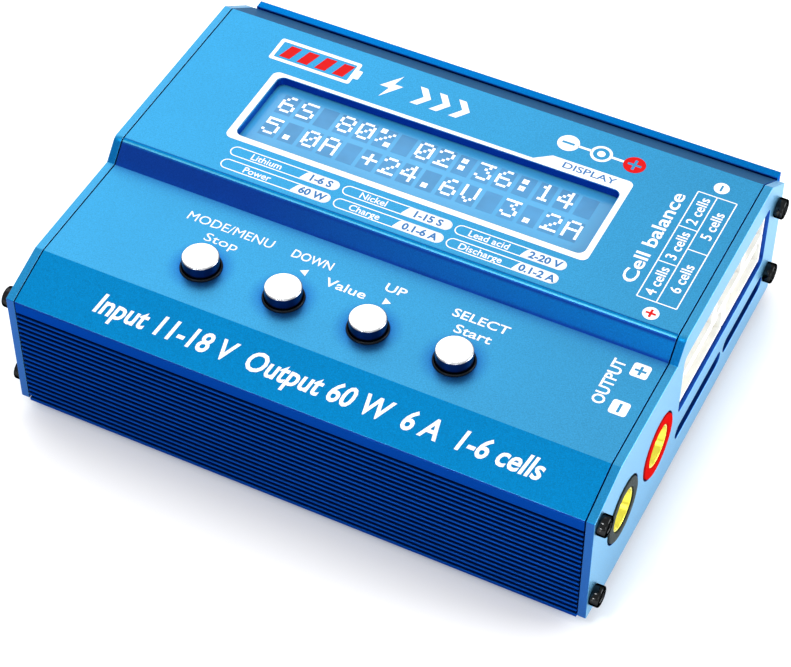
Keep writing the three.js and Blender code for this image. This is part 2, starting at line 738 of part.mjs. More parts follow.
const rowReach = [SOCKET_FRONT, SOCKET_FRONT];
SOCKETS.forEach(([name, pins, row]) => {
  const { geometry, width } = makeSocket(pins);
  const low = SOCKET_LOW + row * (SOCKET_HEIGHT + GAP);
  add(name, geometry, ivoryPlastic).position.set(SOCKET_MOUTH, rowReach[row], low);
  rowReach[row] += width + GAP;
});

// ---------------------------------------------------------------- output sockets

const insulatorBore = CONTACT_RADIUS + SNUG;
const insulatorProfile = [
  [insulatorBore, INSULATOR_BACK],
  [INSULATOR_RADIUS, INSULATOR_BACK],
  [INSULATOR_RADIUS, FLANGE.back],
  [INSULATOR_RADIUS + FLANGE.proud, FLANGE.back],
  [INSULATOR_RADIUS + FLANGE.proud, BODY_END],
  [INSULATOR_RADIUS, BODY_END],
  [INSULATOR_RADIUS, INSULATOR_FACE - INSULATOR_EDGE],
  [INSULATOR_RADIUS - INSULATOR_EDGE, INSULATOR_FACE],
  [insulatorBore, INSULATOR_FACE],
  [insulatorBore, INSULATOR_BACK],
];
const contactProfile = [
  [0, CONTACT_TAIL.end],
  [CONTACT_TAIL.radius, CONTACT_TAIL.end],
  [CONTACT_TAIL.radius, CONTACT_BACK],
  [CONTACT_RADIUS, CONTACT_BACK],
  [CONTACT_RADIUS, CONTACT_FACE],
  [CONTACT_RADIUS - CONTACT_LIP, CONTACT_FACE],
  [CONTACT_BORE, CONTACT_FACE - CONTACT_CONE],
  [CONTACT_BORE, CONTACT_FLOOR],
  [0, CONTACT_FLOOR],
];
OUTPUTS.forEach(([pole, y]) => {
  const place = new THREE.Group();
  place.position.set(0, y, OUTPUT_Z);
  charger.add(place);
  const plastic = pole === "positive" ? redPlastic : blackPlastic;
  add("output_insulator_" + pole, turnedAlongX(insulatorProfile, 24), plastic, place);
  add("output_contact_" + pole, turnedAlongX(contactProfile, 20), gold, place);
});

// ---------------------------------------------------------------- left-end sockets

// Power jack: a square body with a round nose and a centre pin, mouth at the plate's outer face.
function makeJack() {
  const nose = turnedAlongX(
    [
      [0, -JACK.length],
      [JACK.radius, -JACK.length],
      [JACK.radius, 0],
      [0, 0],
    ],
    24,
  );
  const { half, front } = JACK_SHELL;
  const shell = block([-JACK.length, -half, MAIN_SEAT - JACK.z], [-front, half, half]);
  const bore = turnedAlongX(
    [
      [0, -JACK.bottom],
      [JACK.bore, -JACK.bottom],
      [JACK.bore, 1],
      [0, 1],
    ],
    24,
  );
  return cut(join(nose, shell), bore);
}

const jackPlace = new THREE.Group();
jackPlace.position.set(-PLATE_OUT, JACK.y, JACK.z);
jackPlace.rotation.z = Math.PI;
charger.add(jackPlace);
add("power_jack", makeJack(), blackPlastic, jackPlace);
const jackPin = turnedAlongX(
  [
    [0, -JACK.bottom + SNUG],
    [JACK.pin, -JACK.bottom + SNUG],
    [JACK.pin, -JACK_PIN.tip - JACK_PIN.slope],
    [JACK.pin - JACK_PIN.slope, -JACK_PIN.tip],
    [0, -JACK_PIN.tip],
  ],
  14,
);
add("power_jack_pin", jackPin, steel, jackPlace);

// A rectangular port with tongues inside, its mouth at X = 0 and its body towards +X. Each
// tongue is [from, to] along Y.
function makePort({ width, height, depth }, skin, tongueThick, tongues) {
  const w = width / 2;
  const h = height / 2;
  const half = tongueThick / 2;
  const bottom = depth - skin - PORT_FLOOR;
  const cavity = block([-1, -w + skin, -h + skin], [bottom, w - skin, h - skin]);
  const shell = cut(block([0, -w, -h], [depth, w, h]), cavity);
  const blocks = tongues.map(([from, to]) =>
    block([1, from, -half], [depth - PORT_FLOOR / 2, to, half]),
  );
  return join(shell, ...blocks);
}

const usbTongue = [-USB_TONGUE.width / 2, USB_TONGUE.width / 2];
const usbPort = makePort(USB, USB_SKIN, USB_TONGUE.thick, [usbTongue]);
add("usb_port", usbPort, steel).position.set(-PLATE_OUT + USB_SET_BACK, USB.y, USB.z);
const sensorPins = [-1, 0, 1].map((i) => {
  const y = i * SENSOR_PIN.pitch;
  return [y - SENSOR_PIN.side / 2, y + SENSOR_PIN.side / 2];
});
const sensorPort = makePort(SENSOR, SENSOR_SKIN, SENSOR_PIN.side, sensorPins);
const sensorX = -PLATE_OUT + SENSOR_SET_BACK;
add("temperature_port", sensorPort, ivoryPlastic).position.set(sensorX, SENSOR.y, SENSOR.z);

// ---------------------------------------------------------------- cooling fan

const fanPlace = new THREE.Group();
fanPlace.position.set(-BODY_END, FAN.y, FAN.z);
charger.add(fanPlace);

// Square frame, open towards the plate, with a motor mount on three arms at its inner end.
function makeFanFrame() {
  const screwAt = FAN.side / 2 - FAN_SCREW.inset;
  const ring = roundedRectangle({
    x: 0,
    y: 0,
    width: FAN.side,
    depth: FAN.side,
    corner: FAN_CORNER,
  });
  ring.holes.push(circlePath(0, 0, FAN.bore));
  [
    [1, 1],
    [1, -1],
    [-1, 1],
    [-1, -1],
  ].forEach(([sy, sz]) => {
    ring.holes.push(circlePath(sy * screwAt, sz * screwAt, FAN_SCREW.radius));
  });
  const shell = extrudeAlongX(ring, 0, FAN.depth, 10);
  const mountFront = FAN.depth - FAN_MOUNT.thick;
  const mount = turnedAlongX(
    [
      [0, mountFront],
      [FAN.hub, mountFront],
      [FAN.hub, FAN.depth],
      [0, FAN.depth],
    ],
    20,
  );
  const halfArm = FAN_MOUNT.armWidth / 2;
  const arms = Array.from({ length: FAN_MOUNT.arms }, (_, i) => {
    const arm = block(
      [mountFront, -halfArm, FAN.hub - 1],
      [FAN.depth, halfArm, FAN.bore + FAN_MOUNT.overlap],
    );
    return arm.rotateX(Math.PI / 6 + (i * 2 * Math.PI) / FAN_MOUNT.arms);
  });
  return join(shell, mount, ...arms);
}

function makeFanRotor() {
  const inner = FAN.depth - FAN_MOUNT.thick - GAP;
  const hub = turnedAlongX(
    [
      [0, ROTOR.front],
      [FAN.hub - ROTOR.edge, ROTOR.front],
      [FAN.hub, ROTOR.front + ROTOR.edge],
      [FAN.hub, inner],
      [0, inner],
    ],
    20,
  );
  const tip = FAN.bore - ROTOR.tipGap;
  const root = FAN.hub - ROTOR.root;
  const blades = Array.from({ length: FAN.blades }, (_, i) => {
    const blade = new THREE.BoxGeometry(BLADE.chord, BLADE.thick, tip - root);
    blade.rotateZ(THREE.MathUtils.degToRad(BLADE.pitch));
    blade.translate((ROTOR.bladeFront + inner) / 2, 0, (tip + root) / 2);
    return blade.rotateX((i * 2 * Math.PI) / FAN.blades);
  });
  return join(hub, ...blades);
}

add("fan_frame", makeFanFrame(), blackPlastic, fanPlace);
add("fan_rotor", makeFanRotor(), blackPlastic, fanPlace);

// ---------------------------------------------------------------- stand the case on its feet

const overallMiddleY = (FRONT + REAR_WALL_OUT) / 2;
charger.position.set(0, -overallMiddleY, FOOT_DROP);

export default charger;
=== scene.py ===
"""Looks of a compact balance battery charger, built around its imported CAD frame.

Sizes are in millimetres in the case's own frame, with Z = 0 at the end plates' lower edge and
Y = 0 at their middle, unless a comment says otherwise. Every piece is moved to the row frame and
to metres when it is made. A flat shape is drawn in a plane of its own, with a to the right, b
upwards and its height h towards the viewer of that face.
"""

import math

import bmesh
import bpy
from mathutils import Matrix, Vector


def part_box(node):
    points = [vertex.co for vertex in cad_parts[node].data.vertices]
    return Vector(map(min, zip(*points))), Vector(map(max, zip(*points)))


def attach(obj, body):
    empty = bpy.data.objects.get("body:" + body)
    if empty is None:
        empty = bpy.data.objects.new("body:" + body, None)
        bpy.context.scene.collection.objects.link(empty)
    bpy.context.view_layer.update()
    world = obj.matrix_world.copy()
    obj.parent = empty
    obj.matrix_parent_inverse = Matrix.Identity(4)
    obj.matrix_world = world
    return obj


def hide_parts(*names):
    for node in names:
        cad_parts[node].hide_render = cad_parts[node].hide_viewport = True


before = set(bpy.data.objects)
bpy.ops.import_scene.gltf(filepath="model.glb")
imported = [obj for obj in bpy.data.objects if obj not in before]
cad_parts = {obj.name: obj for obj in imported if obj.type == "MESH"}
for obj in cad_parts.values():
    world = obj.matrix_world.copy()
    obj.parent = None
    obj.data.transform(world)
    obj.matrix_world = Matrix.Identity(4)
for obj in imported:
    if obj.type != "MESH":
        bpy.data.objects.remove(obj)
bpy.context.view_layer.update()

# ---- the frame's places

MM = 0.001
plate_low, plate_high = (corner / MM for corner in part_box("right_end_plate"))
CASE_ORIGIN = Vector((0, (plate_low.y + plate_high.y) / 2, plate_low.z))


def span(node):
    """Lowest and highest corners of a CAD node, in the case's own frame."""
    low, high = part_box(node)
    return low / MM - CASE_ORIGIN, high / MM - CASE_ORIGIN


def middle(node):
    low, high = span(node)
    return (low + high) / 2


def size_of(node):
    low, high = span(node)
    return high - low


PLATE_IN, FRONT = span("right_end_plate")[0].xy
PLATE_OUT, REAR, UPPER_DECK = span("right_end_plate")[1]
BODY_END = span("top_cover")[1].x
TRAY_BOTTOM = span("base_tray")[0].z
REAR_WALL_OUT, RAIL_TOP = span("base_tray")[1].yz

# ---- driving dimensions

FRONT_HEIGHT = 23.5  # where the sloping front band starts
LOWER_DECK = 26.65
BAND_REAR = -30.2
STEP_FOOT = -8.0
STEP_HEAD = -5.0
STEP_RADIUS = 1.6
STEP_LIGHT_RUN = (-25, 50)  # the run of X over which the step is painted lighter towards its right end
CHAMFER_TOP_Y = 32.4
CHAMFER_LOW_Z = 24.8
WALL = 1.5
SEAM = 0.3  # between the cover, the tray and the plates
FRONT_WALL = 3.0
TRAY_FLOOR = 1.0
RAIL_FRONT = 40.6
SHELF_Z = 18.8
GROOVES = 19
GROOVE_PITCH = 1.11
GROOVE_WIDTH = 0.66
GROOVE_DEPTH = 0.8
FIRST_GROOVE = 21.0
RIB_EDGE = 0.1
SHELL_EDGE = 0.12  # broken edges of the extrusions and plates
SHELL_END = BODY_END + SEAM / 4
SCREW_NAMES = ["front_top", "front_bottom", "rear_top", "rear_bottom"]
SCREW_HOLE = 1.1
SCREW_HEAD = (1.8, 1.5)  # radius, height
SCREW_SHANK = (0.95, 6.0)
SCREW_HEXAGON = (0.9, 1.0)  # corner radius, depth
WINDOW = (-2.1, 12.5, 62.8, 15.8, 1.2)  # middle a, b, width, height, corner radius
WINDOW_RIM = 0.12
BUTTONS = ["stop", "decrease", "increase", "start"]
BUTTON_HOLE = 3.5
COLLAR_RADII = (3.15, 3.45)
CAP_RADIUS = 3.05
CAP_FLANGE = 3.9
CAP_STEM = (1.8, 0.35)  # radius, and how far the hollow round it ends below the deck
SOCKETS = {"6s": 7, "5s": 6, "4s": 5, "3s": 4, "2s": 3}  # pins of each balance socket
BALANCE_OPENING = (14.25, 18.4, 37.7, 13.0, 1.2)
VENTS = [(-4.6, 15.2), (16.4, 34.4)]
VENT_Z = 6.5
VENT_HEIGHT = 2.9
POLES = ["negative", "positive"]
RING_FLANGE = 1.2  # how far an output ring's inner flange stands out
JACK_NOSE = 4.1
GRILLE_RADII = [3.6, 6.6, 9.6]
GRILLE_WIDTH = 1.9
GRILLE_ARCS = 4
GRILLE_BRIDGE = 1.8
PRINT = 0.03  # ink's height over the metal

# ---- planes to draw in


def plane(a, b, h, origin=(0, 0, 0)):
    """The matrix that takes (a, b, h) of a drawing plane to the case's own frame."""
    matrix = Matrix((a, b, h)).transposed().to_4x4()
    return Matrix.Translation(Vector(origin)) @ matrix


UP = plane((1, 0, 0), (0, 1, 0), (0, 0, 1))
RIGHT = plane((0, 1, 0), (0, 0, 1), (1, 0, 0))
LEFT = plane((0, -1, 0), (0, 0, 1), (-1, 0, 0))
band_run = Vector((0, BAND_REAR - FRONT, LOWER_DECK - FRONT_HEIGHT)).normalized()
BAND = plane((1, 0, 0), band_run, Vector((1, 0, 0)).cross(band_run), (0, FRONT, FRONT_HEIGHT))
ON_UPPER_DECK = Matrix.Translation((0, 0, UPPER_DECK)) @ UP
ON_LOWER_DECK = Matrix.Translation((0, 0, LOWER_DECK)) @ UP

# ---- outlines


def outline(corners, steps=5):
    """Points round the corners (a, b); a third value rounds that corner with its radius."""
    points = []
    for i, corner in enumerate(corners):
        here = Vector(corner[:2])
        radius = corner[2] if len(corner) > 2 else 0
        if not radius:
            points.append(here)
            continue
        back = (Vector(corners[i - 1][:2]) - here).normalized()
        onward = (Vector(corners[(i + 1) % len(corners)][:2]) - here).normalized()
        half = back.angle(onward) / 2
        reach = radius / math.tan(half)
        centre = here + (back + onward).normalized() * (radius / math.sin(half))
        start = here + back * reach - centre
        end = here + onward * reach - centre
        sweep = math.pi - 2 * half
        for t in (k / steps for k in range(steps + 1)):
            first, second = (math.sin(turn * sweep) / math.sin(sweep) for turn in (1 - t, t))
            points.append(centre + start * first + end * second)
    return points


def box_outline(a, b, width, height, corner=0.0, steps=6):
    w, h = width / 2, height / 2
    corners = [(a - w, b - h), (a + w, b - h), (a + w, b + h), (a - w, b + h)]
    return outline([(*c, corner) for c in corners], steps)


def circle(a, b, radius, steps=48):
    turn = 2 * math.pi / steps
    return [Vector((a + radius * math.cos(i * turn), b + radius * math.sin(i * turn))) for i in range(steps)]


def wound(points, solid_inside):
    """The loop, turned so that the solid lies on its left."""
    area = sum(p.x * q.y - q.x * p.y for p, q in zip(points, points[1:] + points[:1]))
    return points if (area > 0) == solid_inside else points[::-1]


def inset(points, distance):
    """The loop moved to its left by a small distance, with mitred corners."""
    if not distance:
        return points
    moved = []
    for i, here in enumerate(points):
        into = (here - points[i - 1]).normalized()
        onward = (points[(i + 1) % len(points)] - here).normalized()
        left = Vector((-into.y - onward.y, into.x + onward.x))
        moved.append(here + left * (distance / max(0.35, 1 + into.dot(onward))))
    return moved


def quarter(radius):
    """(inset, rise) of a rounded edge, from the flat face to the wall."""
    if not radius:
        return [(0, 0)]
    turns = [k / 3 * math.pi / 2 for k in range(4)]
    return [(radius * (1 - math.sin(t)), radius * (1 - math.cos(t))) for t in turns]


# ---- solids


def add_ring(bm, points, height, place):
    return [bm.verts.new(place @ Vector((p.x, p.y, height))) for p in points]


def add_walls(bm, rings):
    for lower, upper in zip(rings, rings[1:]):
        for i in range(len(lower)):
            bm.faces.new((lower[i - 1], lower[i], upper[i], upper[i - 1]))


def add_cap(bm, rings):
    edges = [bm.edges.get((ring[i - 1], ring[i])) for ring in rings for i in range(len(ring))]
    bmesh.ops.triangle_fill(bm, use_beauty=True, edges=edges)


def add_slab(bm, loops, low, high, edge=0.0, place=UP, pockets=()):
    """A plate between two heights. The first loop is its outline and the others are holes through
    it. edge rounds its rims, at both faces or as (lower, upper). pockets are (loop, depth)."""
    low_edge, high_edge = edge if isinstance(edge, tuple) else (edge, edge)
    rim = [(move, high - rise) for move, rise in reversed(quarter(high_edge))]
    levels = [(move, low + rise) for move, rise in quarter(low_edge)] + rim

    def rings_at(points, levels):
        return [add_ring(bm, inset(points, move), height, place) for move, height in levels]

    feet, heads = [], []
    for i, loop in enumerate(loops):
        rings = rings_at(wound(loop, i == 0), levels)
        add_walls(bm, rings)
        feet.append(rings[0])
        heads.append(rings[-1])
    for loop, depth in pockets:
        rings = rings_at(wound(loop, False), [(0, high - depth), *rim])
        add_walls(bm, rings)
        heads.append(rings[-1])
        add_cap(bm, rings[:1])
    add_cap(bm, feet)
    add_cap(bm, heads)


def add_turned(bm, profile, a=0.0, b=0.0, place=UP, steps=48):
    """A closed profile of (radius, height) points, turned round an axis at (a, b)."""
    rings = []
    for radius, height in profile:
        if radius < 1e-6:
            rings.append([bm.verts.new(place @ Vector((a, b, height)))])
        else:
            rings.append(add_ring(bm, circle(a, b, radius, steps), height, place))
    for i, ring in enumerate(rings):
        last = rings[i - 1]
        if len(last) == 1 and len(ring) == 1:
            continue
        for k in range(steps):
            if len(last) == 1:
                bm.faces.new((last[0], ring[k], ring[k - 1]))
            elif len(ring) == 1:
                bm.faces.new((last[k - 1], last[k], ring[0]))
            else:
                bm.faces.new((last[k - 1], last[k], ring[k], ring[k - 1]))


def built(draw):
    """A bmesh with what draw(bm) adds to it."""
    bm = bmesh.new()
    draw(bm)
    bmesh.ops.recalc_face_normals(bm, faces=bm.faces)
    return bm


def linked(name, data):
    made = bpy.data.objects.new(name, data)
    bpy.context.scene.collection.objects.link(made)
    return made


def plain_object(bm, name):
    mesh = bpy.data.meshes.new(name)
    bm.to_mesh(mesh)
    bm.free()
    return linked(name, mesh)


def evaluated(holder):
    """The object's mesh with its modifiers, as a bmesh. The object is removed."""
    graph = bpy.context.evaluated_depsgraph_get()
    mesh = bpy.data.meshes.new_from_object(holder.evaluated_get(graph))
    done = bmesh.new()
    done.from_mesh(mesh)
    bpy.data.objects.remove(holder)
    bpy.data.meshes.remove(mesh)
    return done


def cut(bm, other):
    """A bmesh with another one cut from it."""
    base, tool = plain_object(bm, "base"), plain_object(other, "tool")
    modifier = base.modifiers.new("cut", "BOOLEAN")
    modifier.operation = "DIFFERENCE"
    modifier.solver = "EXACT"
    modifier.object = tool
    done = evaluated(base)
    bpy.data.objects.remove(tool)
    return done


def piece(name, bm, material, body="case", replaces=(), sharp=35):
    """Makes the finished object, with edges over that many degrees kept sharp."""
    bm.transform(Matrix.Scale(MM, 4) @ Matrix.Translation(CASE_ORIGIN))
    bmesh.ops.recalc_face_normals(bm, faces=bm.faces)
    for edge in bm.edges:
        edge.smooth = edge.is_manifold and edge.calc_face_angle(0) < math.radians(sharp)
    for face in bm.faces:
        face.smooth = True
    made = plain_object(bm, name)
    made.data.materials.append(material)
    normals = made.modifiers.new("normals", "WEIGHTED_NORMAL")
    normals.keep_sharp = True
    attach(made, body)
    if replaces:
        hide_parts(*replaces)


# ---- materials


class Finish:
    """A Principled material with helpers that add procedural detail to it."""

    def __init__(self, name, **values):
        self.material = bpy.data.materials.new(name)
        self.material.use_nodes = True
        self.nodes = self.material.node_tree.nodes
        self.links = self.material.node_tree.links
        self.shader = self.nodes["Principled BSDF"]
        self.place = self.node("TexCoord").outputs["Object"]
        self.fill(self.shader, values)

    def fill(self, node, inputs):
        """Gives a node's inputs their values, or links them to other nodes' outputs."""
        for name, value in inputs.items():
            socket = node.inputs[name.replace("_", " ")]
            if isinstance(value, bpy.types.NodeSocket):
                self.links.new(value, socket)
            else:
                socket.default_value = value

    def node(self, kind, **inputs):
        made = self.nodes.new("ShaderNode" + kind)
        self.fill(made, inputs)
        return made

    def noise(self, size, detail=2.0, stretch=(1, 1, 1)):
        """Noise whose blobs measure about size millimetres."""
        place = self.node("Mapping", Vector=self.place, Scale=stretch).outputs["Vector"]
        return self.node("TexNoise", Vector=place, Scale=1 / (size * MM), Detail=detail).outputs["Fac"]

    def mapped(self, factor, start, end, low, high):
        """The factor's run from start to end, taken to low and high."""
        ends = {"From_Min": start, "From_Max": end, "To_Min": low, "To_Max": high}
        return self.node("MapRange", Value=factor, **ends).outputs["Result"]

    def ranged(self, noise, low, high):
        return self.mapped(noise, 0.3, 0.7, low, high)

    def math(self, operation, *values):
        node = self.node("Math")
        node.operation = operation
        for socket, value in zip(node.inputs, values):
            self.links.new(value, socket)
        return node.outputs[0]

    def parts(self, vector):
        """The outputs X, Y and Z of a vector."""
        return self.node("SeparateXYZ", Vector=vector).outputs

    def normal(self):
        return self.parts(self.node("NewGeometry").outputs["Normal"])

    def mixed(self, factor, first, second):
        """A colour between two colours or colour outputs."""
        node = self.node("Mix", Factor=factor)
        node.data_type = "RGBA"
        for socket, colour in (("A", first), ("B", second)):
            target = next(s for s in node.inputs if s.name == socket and s.type == "RGBA")
            if isinstance(colour, tuple):
                target.default_value = (*colour, 1)
            else:
                self.links.new(colour, target)
        return next(s for s in node.outputs if s.type == "RGBA")

    def by_normal(self, colours):
        """A colour that goes with the Y of the surface's normal, from (Y, colour) stops."""
        factor = self.mapped(self.normal()["Y"], -1.0, 1.0, 0.0, 1.0)
        ramp = self.node("ValToRGB", Fac=factor)
        for i, (y, colour) in enumerate(colours):
            stops = ramp.color_ramp.elements
            stop = stops[i] if i < 2 else stops.new(1.0)
            stop.position = (y + 1) / 2
            stop.color = (*colour, 1)
        return ramp.outputs["Color"]

    def to_sides(self):
        """1 on faces that look along X, 0 on the others."""
        return self.mapped(self.math("ABSOLUTE", self.normal()["X"]), 0.5, 0.9, 0.0, 1.0)

    def within(self, low, high, soft):
        """1 inside a box of the case's own frame, given by (Y, Z) corners, and 0 outside it."""
        place = self.parts(self.place)
        inside = None
        for axis, start, end in (("Y", low[0], high[0]), ("Z", low[1], high[1])):
            offset = getattr(CASE_ORIGIN, axis.lower())
            for face, inner in ((start, start + soft), (end, end - soft)):
                bounds = [(value + offset) * MM for value in (face, inner)]
                passed = self.mapped(place[axis], *bounds, 0.0, 1.0)
                inside = self.math("MINIMUM", inside, passed) if inside else passed
        return inside

    def across(self, start, end):
        """0 at the X of start, in millimetres, and 1 at that of end."""
        return self.mapped(self.parts(self.place)["X"], start * MM, end * MM, 0.0, 1.0)

    def openness(self, reach, low, high):
        """From low in a tight corner to high in the open, over that many millimetres."""
        node = self.node("AmbientOcclusion", Distance=reach * MM)
        return self.mapped(node.outputs["AO"], 0.5, 1.0, low, high)

    def scaled(self, colour, factor):
        node = self.node("VectorMath")
        node.operation = "SCALE"
        self.fill(node, {"Vector": colour, "Scale": factor})
        return node.outputs["Vector"]

    def colour(self, output):
        self.fill(self.shader, {"Base Color": output})

    def roughness(self, factor, low, high):
        self.fill(self.shader, {"Roughness": self.ranged(factor, low, high)})

    def bump(self, factor, depth, strength):
        """A relief of that many millimetres."""
        node = self.node("Bump", Height=factor, Distance=depth * MM, Strength=strength)
        self.fill(self.shader, {"Normal": node.outputs["Normal"]})

    def skin(self, colours, cloud, grain, roughness, relief, strength=0.5):
        """Clouds of two colours, with a grain that roughens and lifts the surface."""
        self.colour(self.mixed(self.ranged(self.noise(cloud), 0.0, 1.0), *colours))
        self.roughness(grain, *roughness)
        self.bump(grain, relief, strength)
        return self.material


def shades(colour, *factors):
    return [tuple(min(1.0, c * factor) for c in colour) for factor in factors]


def blasted(
    name, colours, dark, hollow, side=None, step=None, corner=None, edge=(0.1, 0.35, 0.8), coat=0.08
):
    """Bead-blasted aluminium, anodised with a blue dye and sealed, with light and shade painted into its
    colour.
    The blue goes with the way a face looks, as lit and shaded copies with painted highlights and
    painted reflections: colours are (Y of the face's normal, colour), and side is the painted lit
    colour of faces that look along X. The dark colour is painted shade in the grooves and openings,
    which lie in the hollow: the arguments of Finish.within. The step is painted lighter towards the
    step colour at its right end, and the corner colour is painted shade in tight corners. edge is
    what the metal mirrors at a grazing angle."""
    made = Finish(name, Metallic=1.0, Coat_Weight=coat, Coat_Roughness=0.3, Specular_Tint=(*edge, 1))
    grain = made.noise(0.2, 3.0)
    # Painted light and shade: the blue goes with the way a face looks, with painted shade in the hollow.
    dye_and_painted_light = made.mixed(made.within(*hollow), made.by_normal(colours), dark)
    # Painted light: faces that look along X take the paler side colour.
    if side:
        dye_and_painted_light = made.mixed(made.to_sides(), dye_and_painted_light, side)
    if step:
        # Painted light: the step wall is painted lighter towards its right end.
        wall = made.within((STEP_FOOT - 1, LOWER_DECK + 0.2), (STEP_HEAD + 0.2, UPPER_DECK - 0.6), 0.3)
        dye_and_painted_light = made.mixed(made.math("MULTIPLY", wall, made.across(*STEP_LIGHT_RUN)), dye_and_painted_light, step)
    # Painted shade in tight corners, such as round the button caps.
    if corner:
        dye_and_painted_light = made.mixed(made.openness(3, 0.0, 1.0), corner, dye_and_painted_light)
    patches = made.ranged(made.noise(14.0), 0.98, 1.02)
    made.colour(made.scaled(made.scaled(dye_and_painted_light, patches), made.ranged(grain, 0.7, 1.0)))
    made.roughness(grain, 0.37, 0.47)
    made.bump(grain, 0.012, 0.35)
    return made.material


def moulded(name, colour, roughness=0.42, grain=0.35, relief=0.01, **values):
    """Moulded plastic with a fine spark-eroded skin."""
    made = Finish(name, **values)
    rough = (roughness - 0.06, roughness + 0.08)
    return made.skin(shades(colour, 0.9, 1.06), 4.0, made.noise(grain, 3.0), rough, relief)


def metal(name, colour, roughness=0.25, grain=0.3, relief=0.004, **values):
    """Bare or plated metal with fine tool marks."""
    made = Finish(name, **{"Metallic": 1.0, **values})
    rough = (max(0.05, roughness - 0.07), roughness + 0.07)
    return made.skin(shades(colour, 0.9, 1.05), 3.0, made.noise(grain, 3.0), rough, relief)


def button_metal():
    """Polished silver caps, whose sides are painted dark navy: a painted reflection of the gap round their
    foot.
    """
    cap_top = span("stop_button_cap")[1].z
    made = Finish("satin_silver", Metallic=1.0)
    marks = made.noise(0.5, 2.0, (1, 1, 4))
    # Painted reflection: below its top edge the cap is painted dark navy.
    side = made.within((FRONT, LOWER_DECK - 4), (REAR, cap_top - 0.02), 0.16)
    tint = made.mixed(side, (0.93, 0.94, 0.95), (0.012, 0.032, 0.11))
    made.colour(made.scaled(tint, made.ranged(marks, 0.95, 1.0)))
    made.roughness(marks, 0.23, 0.27)
    made.bump(marks, 0.001, 0.1)
    return made.material


def ink(name, colour, roughness=0.5, **values):
    """Screen-printed ink, slightly uneven over the blasted metal."""
    made = Finish(name, Emission_Color=(*colour, 1), **values)
    rough = (roughness - 0.08, roughness + 0.08)
    return made.skin(shades(colour, 0.95, 1.0), 0.5, made.noise(0.5), rough, 0.006, 0.4)


# Blues of the anodised metal as painted light and shade: lit and shaded copies of one dye for the way each
# face looks, with painted highlights, painted reflections and painted shade in hollows and corners.
BRIGHT_BLUE = (0.0015, 0.32, 0.76)
PALE_BLUE = (0.055, 0.38, 0.7)
# Painted light: the pale, lit look of the end plates' faces.
LIT_FACE_BLUE = (0.17, 0.5, 0.8)
GLINT_BLUE = (0.1, 0.55, 0.85)
MID_BLUE = (0.004, 0.11, 0.46)
NAVY = (0.004, 0.05, 0.36)
# Painted shade for the grooves, openings and the case's insides.
SHADE_NAVY = (0.002, 0.022, 0.18)
SLATE = (0.07, 0.16, 0.15)
RIB_BLUE = (0.005, 0.06, 0.33)
RAIL_BLUE = (0.004, 0.2, 0.6)
FRONT_BLUE = (0.003, 0.11, 0.42)
# Painted light: the lighter blue of the step's right end.
LIT_STEP_BLUE = (0.003, 0.2, 0.62)
# Painted shade for tight corners.
CORNER_SHADE_BLUE = (0.001, 0.08, 0.5)
# Painted shade in the end plates' openings.
OPENING_SHADE_BLUE = (0.01, 0.09, 0.5)

anodised_deck = blasted(
    "anodised_deck", [
        (-0.74, NAVY), (-0.68, MID_BLUE), (-0.62, NAVY), (-0.56, GLINT_BLUE), (-0.46, GLINT_BLUE),
        (-0.4, BRIGHT_BLUE), (-0.28, BRIGHT_BLUE), (-0.2, MID_BLUE), (-0.08, PALE_BLUE),
        (0.3, PALE_BLUE), (0.5, SLATE),
    ],
    SHADE_NAVY, ((FRONT, 1), (REAR - 0.3, FRONT_HEIGHT - 1), 0.3), step=LIT_STEP_BLUE, corner=CORNER_SHADE_BLUE,
)
anodised_plate = blasted(
    "anodised_plate", [(-0.9, FRONT_BLUE), (-0.5, BRIGHT_BLUE), (-0.1, PALE_BLUE)],
    OPENING_SHADE_BLUE, ((-33.5, 1), (38.4, 25.1), 0.2), side=LIT_FACE_BLUE, edge=(1, 1, 1),
)
anodised_ribs = blasted(
    "anodised_ribs", [(-1.0, RIB_BLUE), (-0.3, RIB_BLUE), (0.0, RAIL_BLUE)], SHADE_NAVY,
    ((FRONT + 0.1, TRAY_BOTTOM + 0.1), (REAR_WALL_OUT - 0.1, FIRST_GROOVE + 0.3), 0.35), coat=0.0,
)
black_oxide = metal(
    "black_oxide", (0.028, 0.029, 0.03), 0.12, 0.5, 0.001, Specular_Tint=(0.05, 0.05, 0.05, 1),
)
satin_silver = button_metal()
bright_steel = metal("bright_steel", (0.6, 0.6, 0.58), 0.3)
dull_aluminium = metal("dull_aluminium", (0.7, 0.71, 0.73), 0.38)
gold_plate = metal("gold_plate", (1.0, 0.88, 0.08), 0.2, Metallic=0.7)
copper_wire = metal("copper_wire", (0.72, 0.27, 0.09), 0.28, 0.5, 0.03)
black_plastic = moulded("black_plastic", (0.006, 0.007, 0.008), 0.3, Specular_IOR_Level=0.15)
ring_black = moulded("ring_black", (0.01, 0.018, 0.017), 0.5, Specular_IOR_Level=0.1)
ring_red = moulded("ring_red", (0.52, 0.006, 0.005), 0.5, Specular_IOR_Level=0.0)
ivory_plastic = moulded("ivory_plastic", (0.98, 0.98, 0.96), 0.4)
fan_plastic = moulded("fan_plastic", (0.045, 0.046, 0.05), 0.3)
rubber = moulded("rubber", (0.02, 0.02, 0.021), 0.8, 0.6, 0.03)
solder_mask = moulded("solder_mask", (0.01, 0.11, 0.045), 0.3, 1.2, 0.02)
light_guide = moulded("light_guide", (0.8, 0.85, 0.88), 0.5)
# The white ink glows a little: painted light that brightens the print.
white_ink = ink("white_ink", (0.97, 0.98, 0.98), Emission_Strength=0.12)
red_ink = ink("red_ink", (0.75, 0.003, 0.004), Specular_IOR_Level=0.1)
blue_ink = ink("blue_ink", (0.012, 0.17, 0.47))


# ---- case shells

